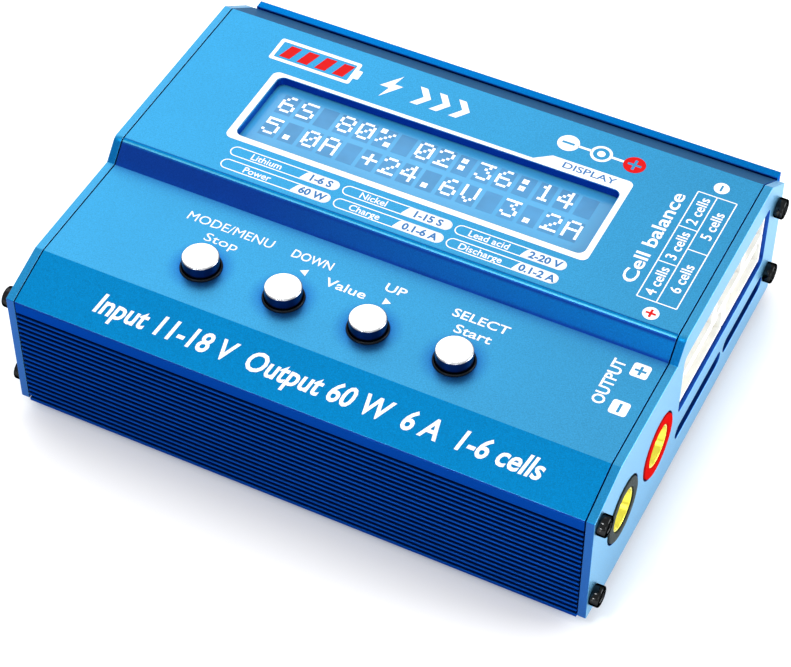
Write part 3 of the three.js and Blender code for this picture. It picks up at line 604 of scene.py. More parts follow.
ROOF = [
    (FRONT, FRONT_HEIGHT),
    (BAND_REAR, LOWER_DECK),
    (STEP_FOOT, LOWER_DECK),
    (STEP_HEAD, UPPER_DECK, STEP_RADIUS),
    (CHAMFER_TOP_Y, UPPER_DECK, 0.2),
    (REAR, CHAMFER_LOW_Z),
]


def screw_spots(side):
    """(Y, Z) of an end plate's screws."""
    return [middle(f"{side}_screw_{name}").yz for name in SCREW_NAMES]


def draw_cover(bm):
    lip = 0.2
    skirt_low = SHELF_Z + SEAM
    section = outline([
        (FRONT, FRONT_HEIGHT, 0.13), *ROOF[1:],
        (REAR, skirt_low), (REAR - WALL, skirt_low), (REAR - WALL, CHAMFER_LOW_Z - WALL / 3),
        (CHAMFER_TOP_Y - WALL / 2, UPPER_DECK - WALL), (STEP_HEAD + WALL / 2, UPPER_DECK - WALL),
        (STEP_FOOT + WALL / 2, LOWER_DECK - WALL), (BAND_REAR + WALL / 4, LOWER_DECK - WALL),
        (FRONT + FRONT_WALL, FRONT_HEIGHT - lip), (FRONT, FRONT_HEIGHT - lip),
    ], 8)
    add_slab(bm, [section], -SHELL_END, SHELL_END, SHELL_EDGE / 2, RIGHT)


def draw_deck_holes(bm):
    """What is cut from the cover: the window with its broken rim, and the button holes."""
    window = wound(box_outline(*WINDOW), True)
    rim = [(0, -WINDOW_RIM), (0.3 * WINDOW_RIM, -0.3 * WINDOW_RIM), (WINDOW_RIM, 0), (WINDOW_RIM, 1)]
    levels = [(0, LOWER_DECK), *[(out, UPPER_DECK + rise) for out, rise in rim]]
    rings = [add_ring(bm, inset(window, -out), height, UP) for out, height in levels]
    add_walls(bm, rings)
    add_cap(bm, rings[:1])
    add_cap(bm, rings[-1:])
    for name in BUTTONS:
        centre = middle(name + "_button_collar")
        hole = circle(centre.x, centre.y, BUTTON_HOLE, 64)
        add_slab(bm, [hole], LOWER_DECK - 2 * WALL, LOWER_DECK + 1)


cover = cut(built(draw_cover), built(draw_deck_holes))
piece("top_cover_shell", cover, anodised_deck, replaces=["top_cover"], sharp=12)


def groove_corners(face, depth):
    """Corners of a finned face's grooves, from the top down."""
    corners = []
    for i in range(GROOVES):
        top = FIRST_GROOVE - i * GROOVE_PITCH
        low = top - GROOVE_WIDTH
        corners += [(face, top, RIB_EDGE), (face + depth, top, RIB_EDGE)]
        corners += [(face + depth, low, RIB_EDGE), (face, low, RIB_EDGE)]
    return corners


def draw_tray(bm):
    wall_top = FRONT_HEIGHT - SEAM
    rear_in = REAR - WALL
    section = outline([
        (FRONT, wall_top, 0.12), *groove_corners(FRONT, GROOVE_DEPTH),
        (FRONT, TRAY_BOTTOM, 0.4), (REAR_WALL_OUT, TRAY_BOTTOM, 0.4),
        *groove_corners(REAR_WALL_OUT, -GROOVE_DEPTH)[::-1],
        (REAR_WALL_OUT, RAIL_TOP, 0.2), (RAIL_FRONT, RAIL_TOP, 0.2), (RAIL_FRONT, SHELF_Z),
        (rear_in, SHELF_Z), (rear_in, TRAY_FLOOR),
        (FRONT + FRONT_WALL, TRAY_FLOOR), (FRONT + FRONT_WALL, wall_top),
    ], 2)
    add_slab(bm, [section], -SHELL_END, SHELL_END, 0.0, RIGHT)


piece("base_tray_shell", built(draw_tray), anodised_ribs, replaces=["base_tray"], sharp=50)

PLATE_OUTLINE = [(FRONT, 0, 0.4), *[(*p[:2], *(p[2:] or (0.15,))) for p in ROOF], (REAR, 0, 0.4)]


def draw_right_plate(bm):
    loops = [outline(PLATE_OUTLINE, 8)]
    loops += [circle(y, z, SCREW_HOLE, 24) for y, z in screw_spots("right")]
    loops.append(box_outline(*BALANCE_OPENING))
    for start, end in VENTS:
        size = (end - start, VENT_HEIGHT)
        loops.append(box_outline((start + end) / 2, VENT_Z, *size, VENT_HEIGHT / 2.01, 8))
    for pole in POLES:
        centre = middle("output_contact_" + pole)
        ring = span("output_insulator_" + pole)[1].z - centre.z - RING_FLANGE
        loops.append(circle(centre.y, centre.z, ring + SEAM, 64))
    add_slab(bm, loops, PLATE_IN, PLATE_OUT, (SHELL_EDGE / 2, SHELL_EDGE), RIGHT)


def grille_slots():
    """The fan grille's curved slots, in the left plate's plane."""
    fan = middle("fan_frame")
    slots = []
    for radius in GRILLE_RADII:
        bridge = GRILLE_BRIDGE / radius
        sweep = 2 * math.pi / GRILLE_ARCS
        for i in range(GRILLE_ARCS):
            start = i * sweep + bridge / 2 + math.pi / 4
            end = start + sweep - bridge
            turns = [start + (end - start) * k / 12 for k in range(13)]
            outer = [(radius + GRILLE_WIDTH / 2, t) for t in turns]
            inner = [(radius - GRILLE_WIDTH / 2, t) for t in reversed(turns)]
            around = [Vector((math.cos(t), math.sin(t))) * r for r, t in outer + inner]
            slots.append([Vector((-fan.y, fan.z)) + spot for spot in around])
    return slots


def draw_left_plate(bm):
    loops = [outline([(-a, *rest) for a, *rest in PLATE_OUTLINE], 8)]
    loops += [circle(-y, z, SCREW_HOLE, 24) for y, z in screw_spots("left")]
    loops += grille_slots()
    jack = middle("power_jack_pin")
    loops.append(circle(-jack.y, jack.z, JACK_NOSE + SEAM, 48))
    for node, gap, corner in (("usb_port", 1.0, 0.8), ("temperature_port", 0.5, 0.3)):
        centre, size = middle(node), size_of(node)
        loops.append(box_outline(-centre.y, centre.z, size.y + gap, size.z + gap, corner))
    add_slab(bm, loops, PLATE_IN, PLATE_OUT, (SHELL_EDGE / 2, SHELL_EDGE), LEFT)


piece("right_plate", built(draw_right_plate), anodised_plate, replaces=["right_end_plate"])
piece("left_plate", built(draw_left_plate), anodised_plate, replaces=["left_end_plate"])

# ---- screws and feet


def draw_screw(bm, place, centre_a, centre_b, seat, top):
    """A socket-head cap screw."""
    corner_radius, depth = SCREW_HEXAGON
    head = circle(centre_a, centre_b, SCREW_HEAD[0], 64)
    hexagon = circle(centre_a, centre_b, corner_radius, 6)
    add_slab(bm, [head], seat, top, (0.1, 0.28), place, pockets=[(hexagon, depth)])
    radius, length = SCREW_SHANK
    tip = seat - length
    shank = outline([(0, tip), (radius, tip, 0.2), (radius, seat), (0, seat)])
    add_turned(bm, shank, centre_a, centre_b, place, 24)


for side, place, mirror in (("right", RIGHT, 1), ("left", LEFT, -1)):
    for name in SCREW_NAMES:
        node = f"{side}_screw_{name}"
        low, high = span(node)
        top = max(abs(low.x), abs(high.x))
        centre = (low + high) / 2
        seat = top - SCREW_HEAD[1]
        screw = built(lambda bm: draw_screw(bm, place, mirror * centre.y, centre.z, seat, top))
        piece(node + "_steel", screw, black_oxide, replaces=[node])

for name in ("front_left", "front_right", "rear_left", "rear_right"):
    low, high = span("foot_" + name)
    radius = (high.x - low.x) / 2
    pad = outline([
        (0, low.z), (radius - 1.2, low.z), (radius, low.z, 0.7), (radius, high.z, 0.1), (0, high.z),
    ])
    centre = (low + high) / 2
    foot = built(lambda bm: add_turned(bm, pad, centre.x, centre.y))
    piece(f"foot_{name}_pad", foot, rubber, replaces=["foot_" + name])

# ---- push buttons

for name in BUTTONS:
    low, high = span(name + "_button_collar")
    centre = (low + high) / 2
    inner, outer = COLLAR_RADII
    collar = outline([
        (inner, low.z), (outer, low.z), (outer, high.z, 0.14), (inner, high.z, 0.14),
    ], 4)
    ring = built(lambda bm: add_turned(bm, collar, centre.x, centre.y, steps=72))
    piece(name + "_collar", ring, black_plastic, replaces=[name + "_button_collar"])
    foot, top = (corner.z for corner in span(name + "_button_cap"))
    flange = LOWER_DECK - WALL - SEAM
    stem, drop = CAP_STEM
    hollow = LOWER_DECK - drop
    cap = outline([
        (0, hollow), (stem, hollow), (stem, foot), (CAP_FLANGE, foot, 0.1), (CAP_FLANGE, flange, 0.1),
        (CAP_RADIUS, flange), (CAP_RADIUS, top, 0.28), (0, top),
    ], 5)
    body = built(lambda bm: add_turned(bm, cap, centre.x, centre.y, steps=72))
    piece(name + "_cap", body, satin_silver, name + "_button", [name + "_button_cap"])

# ---- display


def display_material():
    """The lit display panel: light blue behind a glossy film."""
    made = Finish("display_panel", Roughness=0.3, Coat_Weight=0.2, Coat_Roughness=0.06)
    haze = made.ranged(made.noise(9.0), 0.0, 1.0)
    made.colour(made.mixed(haze, (0.045, 0.38, 0.74), (0.07, 0.42, 0.78)))
    made.bump(made.noise(0.6), 0.004, 0.2)
    return made.material


lcd_panel = display_material()
lcd_cell = moulded("lcd_cell", (0.055, 0.3, 0.61), 0.35, 0.2, 0.004)
lcd_dot = ink("lcd_dot", (0.95, 0.97, 1.0), 0.4, Emission_Strength=0.35)

COLUMNS = 16
CELL_PITCH = 3.66
CELL = (2.95, 4.65)
ROW_PITCH = 5.85
DISPLAY_MIDDLE = (-2.4, 13.3)
DOT_PITCH = 0.57
DOT = 0.5
# dots of each character, row by row from the top, on a 5 by 7 grid
GLYPHS = {
    "0": "01110 10001 10011 10101 11001 10001 01110",
    "1": "00100 01100 00100 00100 00100 00100 01110",
    "2": "01110 10001 00001 00010 00100 01000 11111",
    "3": "11111 00010 00100 00010 00001 10001 01110",
    "4": "00010 00110 01010 10010 11111 00010 00010",
    "5": "11111 10000 11110 00001 00001 10001 01110",
    "6": "00110 01000 10000 11110 10001 10001 01110",
    "8": "01110 10001 10001 01110 10001 10001 01110",
    "A": "01110 10001 10001 11111 10001 10001 10001",
    "S": "01111 10000 10000 01110 00001 00001 11110",
    "V": "10001 10001 10001 10001 10001 01010 00100",
    "%": "11000 11001 00010 00100 01000 10011 00011",
    ".": "00000 00000 00000 00000 00000 01100 01100",
    ":": "00000 01100 01100 00000 01100 01100 00000",
    "+": "00000 00100 00100 11111 00100 00100 00000",
}
READING = ["6S 80% 02:36:14", "5.0A +24.6V 3.2A"]


def cell_centre(row, column):
    a = DISPLAY_MIDDLE[0] + (column - (COLUMNS - 1) / 2) * CELL_PITCH
    return a, DISPLAY_MIDDLE[1] + (0.5 - row) * ROW_PITCH


def draw_panel(bm):
    low, high = span("display_glass")
    face = box_outline(*((low + high) / 2).xy, *(high - low).xy, 0.4)
    add_slab(bm, [face], low.z, high.z, 0.05)


def draw_cells(bm):
    top = span("display_glass")[1].z
    for row in range(2):
        for column in range(COLUMNS):
            add_slab(bm, [box_outline(*cell_centre(row, column), *CELL)], top - 0.02, top + 0.015)


def draw_dots(bm):
    top = span("display_glass")[1].z
    for row, reading in enumerate(READING):
        for column, character in enumerate(reading):
            if character == " ":
                continue
            a, b = cell_centre(row, column)
            for r, line in enumerate(GLYPHS[character].split()):
                for c, bit in enumerate(line):
                    if bit == "1":
                        spot = (a + (c - 2) * DOT_PITCH, b + (3.5 - r) * DOT_PITCH)
                        add_slab(bm, [box_outline(*spot, DOT, DOT)], top, top + 0.03)


piece("display_panel", built(draw_panel), lcd_panel, replaces=["display_glass"])
piece("display_cells", built(draw_cells), lcd_cell)
piece("display_dots", built(draw_dots), lcd_dot)

# ---- printed labels


def text_mesh(words, bold=0.0, slant=0.0):
    """Words in the built-in plain font, one unit thick and standing on b = 0."""
    curve = bpy.data.curves.new("words", "FONT")
    curve.body = words
    curve.extrude = 0.5
    curve.offset = bold
    curve.shear = slant
    curve.resolution_u = 3
    letters = evaluated(linked("words", curve))
    bpy.data.curves.remove(curve)
    bmesh.ops.remove_doubles(letters, verts=letters.verts, dist=1e-5)
    return letters


def reach_along(bm, axis):
    values = [vertex.co[axis] for vertex in bm.verts]
    return min(values), max(values)


CAPITAL = reach_along(text_mesh("H"), 1)[1]  # height of a capital letter in the font's units


def add_text(
    bm, words, a, b, cap_height, surface=ON_UPPER_DECK, turn=0, width=None, bold=0.0, slant=0.0, rise=0.0
):
    """Words as a thin film on a surface, with the middle of their capitals at (a, b)."""
    letters = text_mesh(words, bold, slant)
    start, end = reach_along(letters, 0)
    scale = cap_height / CAPITAL
    across = width / (end - start) if width else scale
    centre = Vector(((start + end) / 2, CAPITAL / 2, -0.5))
    fit = Matrix.Diagonal((across, scale, PRINT, 1)) @ Matrix.Translation(-centre)
    move = Matrix.Translation((a, b, rise - PRINT / 3)) @ Matrix.Rotation(math.radians(turn), 4, "Z")
    letters.transform(surface @ move @ fit)
    mesh = bpy.data.meshes.new("words")
    letters.to_mesh(mesh)
    letters.free()
    bm.from_mesh(mesh)
    bpy.data.meshes.remove(mesh)


def add_print(bm, loops, surface=ON_UPPER_DECK, rise=0.0):
    add_slab(bm, loops, rise - PRINT / 3, rise + PRINT * 2 / 3, place=surface)


def add_line(bm, start, end, width):
    """A straight line of ink on the upper deck."""
    run = Vector(end) - Vector(start)
    side = Vector((-run.y, run.x)).normalized() * width / 2
    add_print(bm, [[Vector(start) - side, Vector(end) - side, Vector(end) + side, Vector(start) + side]])


FRAME_LEFT, FRAME_RIGHT, FRAME_LOW, FRAME_HIGH = -34.9, 30.5, 3.3, 21.3
TAB_SLOPE = (13.2, 15.9)
TAB_HIGH = 23.3
LINE = 0.2
# rating labels: left end, start of the filled part, right end; one column of two rows each
PILL_COLUMNS = [(-32.2, -19.1, -12.1), (-11.4, -0.6, 8.2), (8.8, 20.4, 28.2)]
PILL_ROWS = [0.85, -2.4]
PILL_HEIGHT = 2.3
PILL_WORDS = [
    [("Lithium", "1-6 S"), ("Power", "60 W")],
    [("Nickel", "1-15 S"), ("Charge", "0.1-6 A")],
    [("Lead acid", "2-20 V"), ("Discharge", "0.1-2 A")],
]
PILLS = [
    (*ends, b, *pair)
    for ends, words in zip(PILL_COLUMNS, PILL_WORDS) for b, pair in zip(PILL_ROWS, words)
]
TABLE = (40.45, 0.15, 47.15, 26.15)  # low and high corners
TABLE_MIDDLE = 43.75
TABLE_MINUS = (43.6, 28.45)
TABLE_PLUS = (43.9, -2.4)
OUTPUT_PLUS = (46.2, -11.35)
OUTPUT_MINUS = (46.2, -19.7)
BADGE = (2.9, 2.9, 0.5)  # width, height and corner of the output sockets' marks
LABEL_ROWS = (-12.7, -15.8)
RATINGS = "Input 11-18 V  Output 60 W  6 A  1-6 cells"
ARROW = 0.85
BATTERY = (-30.0, 26.6, 15.5, 5.6)  # middle, width, height
BATTERY_LINE = 0.7
BAR_PITCH = 3.4
BAR_REACH = 1.6  # above and below the battery's middle
SUPPLY = (17.0, 22.9, 28.8)  # middles of the supply sign's rings, from the left
SUPPLY_ROW = 27.2
SUPPLY_RING = 1.9
SUPPLY_LINE = 0.5


def draw_display_frame(bm):
    border = outline([
        (FRAME_LEFT, FRAME_LOW, 1.2), (FRAME_RIGHT, FRAME_LOW, 1.2), (FRAME_RIGHT, TAB_HIGH, 1.0),
        (TAB_SLOPE[1], TAB_HIGH, 0.6), (TAB_SLOPE[0], FRAME_HIGH, 0.4), (FRAME_LEFT, FRAME_HIGH, 1.2),
    ])
    a, b, width, height, corner = WINDOW
    clear = 2 * WINDOW_RIM + 0.04
    add_print(bm, [border, box_outline(a, b, width + clear, height + clear, corner + clear / 2)])


def draw_pills(bm):
    """Outlined rating labels, each with its right part filled."""
    half = PILL_HEIGHT / 2 - LINE / 2
    for left, start, right, b, word, _ in PILLS:
        edge = box_outline((left + right) / 2, b, right - left, PILL_HEIGHT, PILL_HEIGHT / 2.02, 10)
        add_print(bm, [edge, inset(wound(edge, True), LINE)])
        end = right - LINE / 2
        filled = outline([
            (start, b - half, 0.3), (end, b - half, half * 0.98), (end, b + half, half * 0.98),
            (start + 0.9, b + half, 1.0),
        ], 8)
        add_print(bm, [filled])
        add_text(bm, word, (left + start) / 2 + 0.2, b, 1.3, bold=0.012)


def draw_blue_print(bm):
    """What is printed over the white: the labels' values and the display's name."""
    for _, start, right, b, _, value in PILLS:
        add_text(bm, value, (start + right) / 2 + 0.3, b, 1.4, bold=0.035, rise=PRINT / 2)
    add_text(bm, "DISPLAY", 23.0, 22.1, 1.35, width=9.4, bold=0.01, rise=PRINT / 2)


def draw_table(bm):
    """The map of the balance sockets, with the cells that each one takes."""
    a0, b0, a1, b1 = TABLE
    lines = [((a0, b0), (a1, b0)), ((a1, b0), (a1, b1)), ((a1, b1), (a0, b1)), ((a0, b1), (a0, b0))]
    lines.append(((TABLE_MIDDLE, b0), (TABLE_MIDDLE, b1)))
    for k in (1, 2):
        b = b0 + (b1 - b0) * k / 3
        lines.append(((a0, b), (TABLE_MIDDLE, b)))
    lines.append(((TABLE_MIDDLE, (b0 + b1) / 2), (a1, (b0 + b1) / 2)))
    for start, end in lines:
        add_line(bm, start, end, LINE)
    for cells, a in (([4, 3, 2], (a0 + TABLE_MIDDLE) / 2), ([6, 5], (TABLE_MIDDLE + a1) / 2)):
        for k, count in enumerate(cells):
            b = b0 + (b1 - b0) * (k + 0.5) / len(cells)
            add_text(bm, f"{count} cells", a, b, 1.75, turn=90, width=6.6, bold=0.012)
    add_text(bm, "Cell balance", 37.9, 13.3, 2.3, turn=90, width=22.0, bold=0.015)


def plus_outline(a, b, reach, half):
    corners = [
        (half, half), (half, reach), (-half, reach), (-half, half), (-reach, half), (-reach, -half),
        (-half, -half), (-half, -reach), (half, -reach), (half, -half), (reach, -half), (reach, half),
    ]
    return [Vector((a + x, b + y)) for x, y in corners]


def draw_poles(bm):
    """Polarity marks beside the table and the output sockets."""
    add_print(bm, [circle(*TABLE_MINUS, 1.3, 40), box_outline(*TABLE_MINUS, 0.364, 1.43)])
    add_print(bm, [circle(*TABLE_PLUS, 1.35, 40)])
    plus = [box_outline(*OUTPUT_PLUS, *BADGE), plus_outline(*OUTPUT_PLUS, 0.95, 0.22)]
    minus = [box_outline(*OUTPUT_MINUS, *BADGE), box_outline(*OUTPUT_MINUS, 0.45, 1.9)]
    add_print(bm, plus, ON_LOWER_DECK)
    add_print(bm, minus, ON_LOWER_DECK)
    add_text(bm, "OUTPUT", 42.6, -15.4, 1.95, ON_LOWER_DECK, turn=90, width=9.8, bold=0.02)


def draw_button_labels(bm):
    stop, decrease, increase, start = (middle(name + "_button_cap").x for name in BUTTONS)
    high, low = LABEL_ROWS
    for words, a, b, cap_height, width, bold in (
        ("MODE/MENU", stop + 0.2, high, 1.8, 15.6, 0),
        ("Stop", stop + 0.2, low, 1.75, 6.0, 0),
        ("DOWN", decrease + 0.3, high - 0.1, 1.7, 7.2, 0.012),
        ("Value", (decrease + increase) / 2 + 0.4, low - 0.2, 1.75, 7.2, 0.012),
        ("UP", increase + 0.3, high - 0.1, 1.7, 3.6, 0.012),
        ("SELECT", start + 0.3, high - 0.2, 1.7, 9.6, 0.012),
        ("Start", start + 0.3, low - 0.1, 1.75, 6.3, 0.012),
    ):
        add_text(bm, words, a, b, cap_height, ON_LOWER_DECK, width=width, bold=bold)
    for a, first in ((decrease + 0.4, 180), (increase, 0)):
        turns = [math.radians(first + 120 * k) for k in range(3)]
        arrow = [Vector((a + ARROW * math.cos(t), low + ARROW * math.sin(t))) for t in turns]
        add_print(bm, [arrow], ON_LOWER_DECK)


def battery_outline(a, b, width, height):
    """A battery sign's body with its terminal, from its middle."""
    w, h = width / 2, height / 2
    nub = height / 5
    return outline([
        (a - w, b - h, 0.5), (a + w, b - h, 0.5), (a + w, b - nub), (a + w + 0.9, b - nub, 0.3),
        (a + w + 0.9, b + nub, 0.3), (a + w, b + nub), (a + w, b + h, 0.5), (a - w, b + h, 0.5),
    ])


def draw_signs(bm):
    """Plain signs above the display: a battery, a bolt, arrows and the supply's polarity."""
    a, b, width, height = BATTERY
    inner = box_outline(a, b, width - 2 * BATTERY_LINE, height - 2 * BATTERY_LINE, 0.2)
    add_print(bm, [battery_outline(*BATTERY), inner])
    bolt = [(0.9, 3.1), (-1.9, -0.5), (-0.2, -0.5), (-0.9, -3.1), (1.9, 0.7), (0.3, 0.7)]
    arrow = [(-1.5, -2.2), (-0.1, -2.2), (1.5, 0), (-0.1, 2.2), (-1.5, 2.2), (0.1, 0)]
    for shape, a in ((bolt, -15.5), (arrow, -9.5), (arrow, -5.9), (arrow, -2.3)):
        add_print(bm, [[Vector((a + x, b + y)) for x, y in shape]])
    minus, core = ((a, SUPPLY_ROW) for a in SUPPLY[:2])
    add_print(bm, [circle(*minus, SUPPLY_RING, 48), box_outline(*minus, 2.2, SUPPLY_LINE)])
    add_line(bm, (18.7, SUPPLY_ROW), (21.2, SUPPLY_ROW), SUPPLY_LINE)
    add_print(bm, [circle(*core, SUPPLY_RING, 48), circle(*core, SUPPLY_RING - SUPPLY_LINE, 48)])
    add_print(bm, [circle(*core, 0.7, 32)])
    add_line(bm, (24.7, SUPPLY_ROW), (26.9, SUPPLY_ROW), SUPPLY_LINE)


def draw_red_print(bm):
    """The battery's bars and the plus signs."""
    a, b, width, _ = BATTERY
    low, high = b - BAR_REACH, b + BAR_REACH
    for k in range(4):
        left = a - width / 2 + 1.5 + k * BAR_PITCH
        bar = [(left, low), (left + 2.0, low), (left + 2.9, high), (left + 0.9, high)]
        add_print(bm, [[Vector(p) for p in bar]])
    plus = (SUPPLY[2], SUPPLY_ROW)
    add_print(bm, [circle(*plus, SUPPLY_RING, 48), plus_outline(*plus, 1.2, 0.25)])
    add_print(bm, [plus_outline(*TABLE_PLUS, 0.85, 0.2)], rise=PRINT / 2)


def draw_white_print(bm):
    draw_display_frame(bm)
    draw_pills(bm)
    draw_table(bm)
    draw_poles(bm)
    draw_button_labels(bm)
    add_text(bm, RATINGS, 2.0, 5.0, 3.35, BAND, width=77.5, bold=0.02, slant=0.25)
    draw_signs(bm)


piece("white_print", built(draw_white_print), white_ink)
piece("red_print", built(draw_red_print), red_ink)
piece("blue_print", built(draw_blue_print), blue_ink)

# ---- balance sockets

SOCKET_PITCH = 2.5
SOCKET_SKIN = 0.65
SOCKET_DEPTH = 6.6
KEYWAY = (1.1, 1.6)
KEYWAY_DEPTH = 4.2
PIN = 0.64
PIN_TIP = 2.6  # below the mouth


def draw_housing(bm, low, high):
    """An open-mouthed housing."""
    centre = ((low + high) / 2).yz
    width, height = (high - low).yz
    mouth = box_outline(*centre, width - 2 * SOCKET_SKIN, height - 2 * SOCKET_SKIN, 0.15, 2)
    body = box_outline(*centre, width, height, 0.2, 3)
    add_slab(bm, [body], low.x, high.x, 0.08, RIGHT, pockets=[(mouth, SOCKET_DEPTH)])


def draw_keyways(bm, high, spots):
    """What is cut from a housing's upper wall, over its first pin and its last."""
    for y in (spots[0], spots[-1]):
        key = box_outline(y, high.z - 0.1, *KEYWAY)
        add_slab(bm, [key], high.x - KEYWAY_DEPTH, high.x + 1, place=RIGHT)


def draw_pins(bm, middle_z, mouth_x, spots):
    """Square pins with chamfered tips."""
    for y in spots:
        pin = box_outline(y, middle_z, PIN, PIN, 0.06, 1)
        add_slab(bm, [pin], mouth_x - SOCKET_DEPTH - 0.2, mouth_x - PIN_TIP, (0, 0.14), RIGHT)


for cells, pins in SOCKETS.items():
    node = "balance_socket_" + cells
    low, high = span(node)
    centre = (low + high) / 2
    first = centre.y - (pins - 1) / 2 * SOCKET_PITCH
    spots = [first + i * SOCKET_PITCH for i in range(pins)]
    body = built(lambda bm: draw_housing(bm, low, high))
    housing = cut(body, built(lambda bm: draw_keyways(bm, high, spots)))
    piece(node + "_housing", housing, ivory_plastic, replaces=[node])
    contacts = built(lambda bm: draw_pins(bm, centre.z, high.x, spots))
    piece(node + "_pins", contacts, gold_plate)

# ---- output sockets

RING_RADIUS = 5.6
FLANGE_X = 46.5
CONTACT_RADIUS = 3.75
CONTACT_BORE = 2.05
CONTACT_FUNNEL = (0.35, 3.0)  # the rim's width, and the depth where the bore begins
CONTACT_TAIL = (1.1, 37.0)  # radius, and the X where it meets the tube
BORE_END = 38.5


def draw_output_ring(bm, low, high):
    bore = CONTACT_RADIUS + 0.05
    flange = RING_RADIUS + RING_FLANGE
    ring = outline([
        (bore, low.x), (RING_RADIUS, low.x), (RING_RADIUS, FLANGE_X), (flange, FLANGE_X), (flange, BODY_END),
        (RING_RADIUS, BODY_END), (RING_RADIUS, high.x, 0.2), (bore, high.x, 0.2),
    ], 4)
    centre = (low + high) / 2
    add_turned(bm, ring, centre.y, centre.z, RIGHT, 96)


def draw_output_tube(bm, low, high, centre):
    tail, start = CONTACT_TAIL
    rim, funnel = CONTACT_FUNNEL
    tube = outline([
        (0, low.x), (tail, low.x, 0.1), (tail, start), (CONTACT_RADIUS, start, 0.1),
        (CONTACT_RADIUS, high.x, 0.15), (CONTACT_RADIUS - rim, high.x, 0.15),
        (CONTACT_BORE, high.x - funnel, 0.3), (CONTACT_BORE, BORE_END), (0, BORE_END),
    ], 4)
    add_turned(bm, tube, centre.y, centre.z, RIGHT, 96)


for pole, plastic, slot in zip(POLES, (ring_black, ring_red), ("black_plastic", "red_plastic")):
    low, high = span("output_insulator_" + pole)
    centre = (low + high) / 2
    ring = built(lambda bm: draw_output_ring(bm, low, high))
    piece(f"output_ring_{pole}", ring, plastic, replaces=["output_insulator_" + pole])
    tube = built(lambda bm: draw_output_tube(bm, *span("output_contact_" + pole), centre))
    piece(f"output_tube_{pole}", tube, gold_plate, replaces=["output_contact_" + pole])

# ---- inner parts keep their CAD shape

INNER = [  # material, width of the bevelled edges, nodes
    (solder_mask, 0.05, ["main_board", "balance_board", "display_board"]),
    (light_guide, 0.1, ["display_backlight"]),
    (copper_wire, 0.3, ["power_inductor"]),
    (dull_aluminium, 0.3, ["input_capacitor", "output_capacitor"]),
    (black_plastic, 0.1, ["board_link_header", "microcontroller"]),
    (black_plastic, 0.1, [name + "_switch_plunger" for name in BUTTONS]),
    (black_plastic, 0.15, ["charge_transistor", "discharge_transistor", "power_jack"]),
    (black_plastic, 0.2, ["buzzer"]),
    (bright_steel, 0.1, ["power_jack_pin", *(name + "_switch_body" for name in BUTTONS)]),
    (bright_steel, 0.08, ["usb_port"]),
    (ivory_plastic, 0.08, ["temperature_port"]),
    (fan_plastic, 0.15, ["fan_frame"]),
    (fan_plastic, 0.1, ["fan_rotor"]),
]

for material, edge, names in INNER:
    for node in (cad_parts[name] for name in names):
        node.data.materials.clear()
        node.data.materials.append(material)
        weld = node.modifiers.new("weld", "WELD")
        weld.merge_threshold = 1e-6
        bevel = node.modifiers.new("bevel", "BEVEL")
        bevel.width = edge * MM
        bevel.segments = 2
        bevel.limit_method = "ANGLE"
        bevel.angle_limit = math.radians(40)

# ---- floor, light and camera


def floor_material():
    """A smooth white sweep with a faint gloss, which glows less right beside the object: a painted contact
    shadow.
    """
    made = Finish("floor_white", Coat_Weight=0.35, Coat_Roughness=0.08, Emission_Color=(1, 1, 1, 1))
    cloud = made.ranged(made.noise(60.0), 0.0, 1.0)
    made.colour(made.mixed(cloud, (0.83, 0.83, 0.84), (0.85, 0.85, 0.85)))
    made.roughness(made.noise(3.0), 0.5, 0.56)
    # Painted contact shadow: the floor glows less in the tight corners beside the object.
    made.fill(made.shader, {"Emission Strength": made.openness(15, 0.12, 0.5)})
    return made.material


def make_floor():
    bm = bmesh.new()
    bmesh.ops.create_grid(bm, x_segments=12, y_segments=12, size=2.5)
    floor = plain_object(bm, "floor")
    floor.data.materials.append(floor_material())


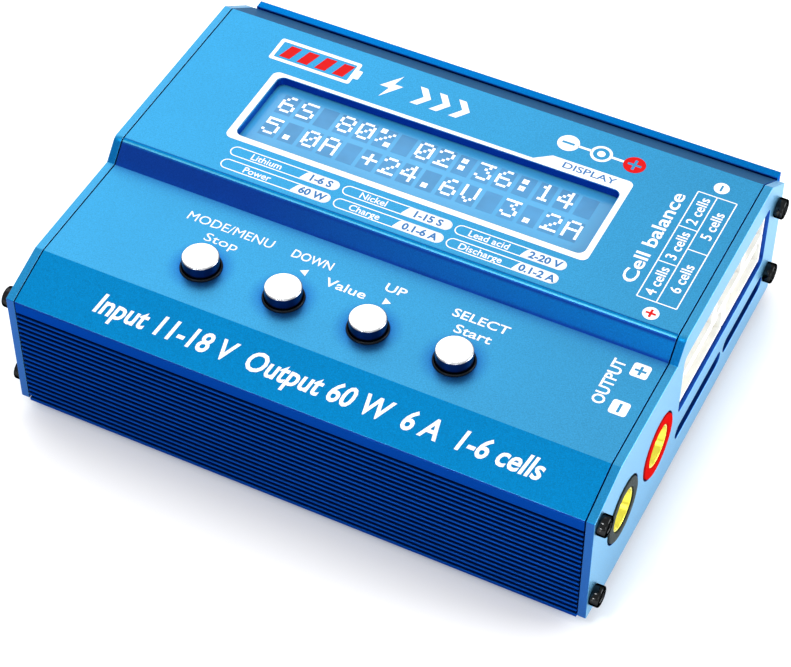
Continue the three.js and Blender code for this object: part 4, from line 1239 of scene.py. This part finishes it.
WORLD_STRENGTH = 0.64
LAMPS = {  # direction, distance and size in metres, power in watts
    "key": ((-0.6, 0.58, 0.6), 1.6, 1.4, 8),
    "right": ((1, 0.5, 0.4), 1.0, 0.6, 7.5),
    "front": ((0.55, -0.8, 0.5), 1.0, 0.4, 1.5),
    "sparkle": ((-0.14, -0.48, 0.87), 1.0, 0.12, 1.5),
    "streak": ((-0.15, -0.97, 0.2), 1.0, 0.1, 1.2),
}


def make_lamp(name, direction, distance, size, power):
    """A square lamp that faces the object from that direction."""
    data = bpy.data.lights.new(name, "AREA")
    data.size = size
    data.energy = power
    lamp = linked(name, data)
    lamp.location = Vector(direction).normalized() * distance
    lamp.rotation_mode = "QUATERNION"
    lamp.rotation_quaternion = Vector(direction).to_track_quat("Z", "Y")


def make_world():
    world = bpy.data.worlds.new("studio")
    world.use_nodes = True
    background = world.node_tree.nodes["Background"].inputs
    background["Color"].default_value = (1, 1, 1, 1)
    background["Strength"].default_value = WORLD_STRENGTH
    bpy.context.scene.world = world


# The camera looks at a point on the case's middle plane, from the front right and above.
CAMERA_AZIMUTH = math.radians(26.376)
CAMERA_ELEVATION = math.radians(47.478)
CAMERA_ROLL = math.radians(0.175)
CAMERA_DISTANCE = 414.26
CAMERA_TARGET = Vector((-1.733, 0.734, 0))
LENS = 110.77  # on the usual 36 mm sensor


def make_camera():
    data = bpy.data.cameras.new("camera")
    data.lens = LENS
    data.sensor_width = 36
    data.clip_start = 0.01
    camera = linked("camera", data)
    flat = math.cos(CAMERA_ELEVATION)
    side, front = math.sin(CAMERA_AZIMUTH) * flat, -math.cos(CAMERA_AZIMUTH) * flat
    back = Vector((side, front, math.sin(CAMERA_ELEVATION)))
    camera.location = (CAMERA_TARGET + CASE_ORIGIN + back * CAMERA_DISTANCE) * MM
    camera.rotation_mode = "QUATERNION"
    roll = Matrix.Rotation(CAMERA_ROLL, 3, back)
    camera.rotation_quaternion = (roll @ back.to_track_quat("Z", "Y").to_matrix()).to_quaternion()
    bpy.context.scene.camera = camera


make_floor()
make_world()
for name, lamp in LAMPS.items():
    make_lamp(name, *lamp)
make_camera()
bpy.context.scene.view_settings.view_transform = "Standard"
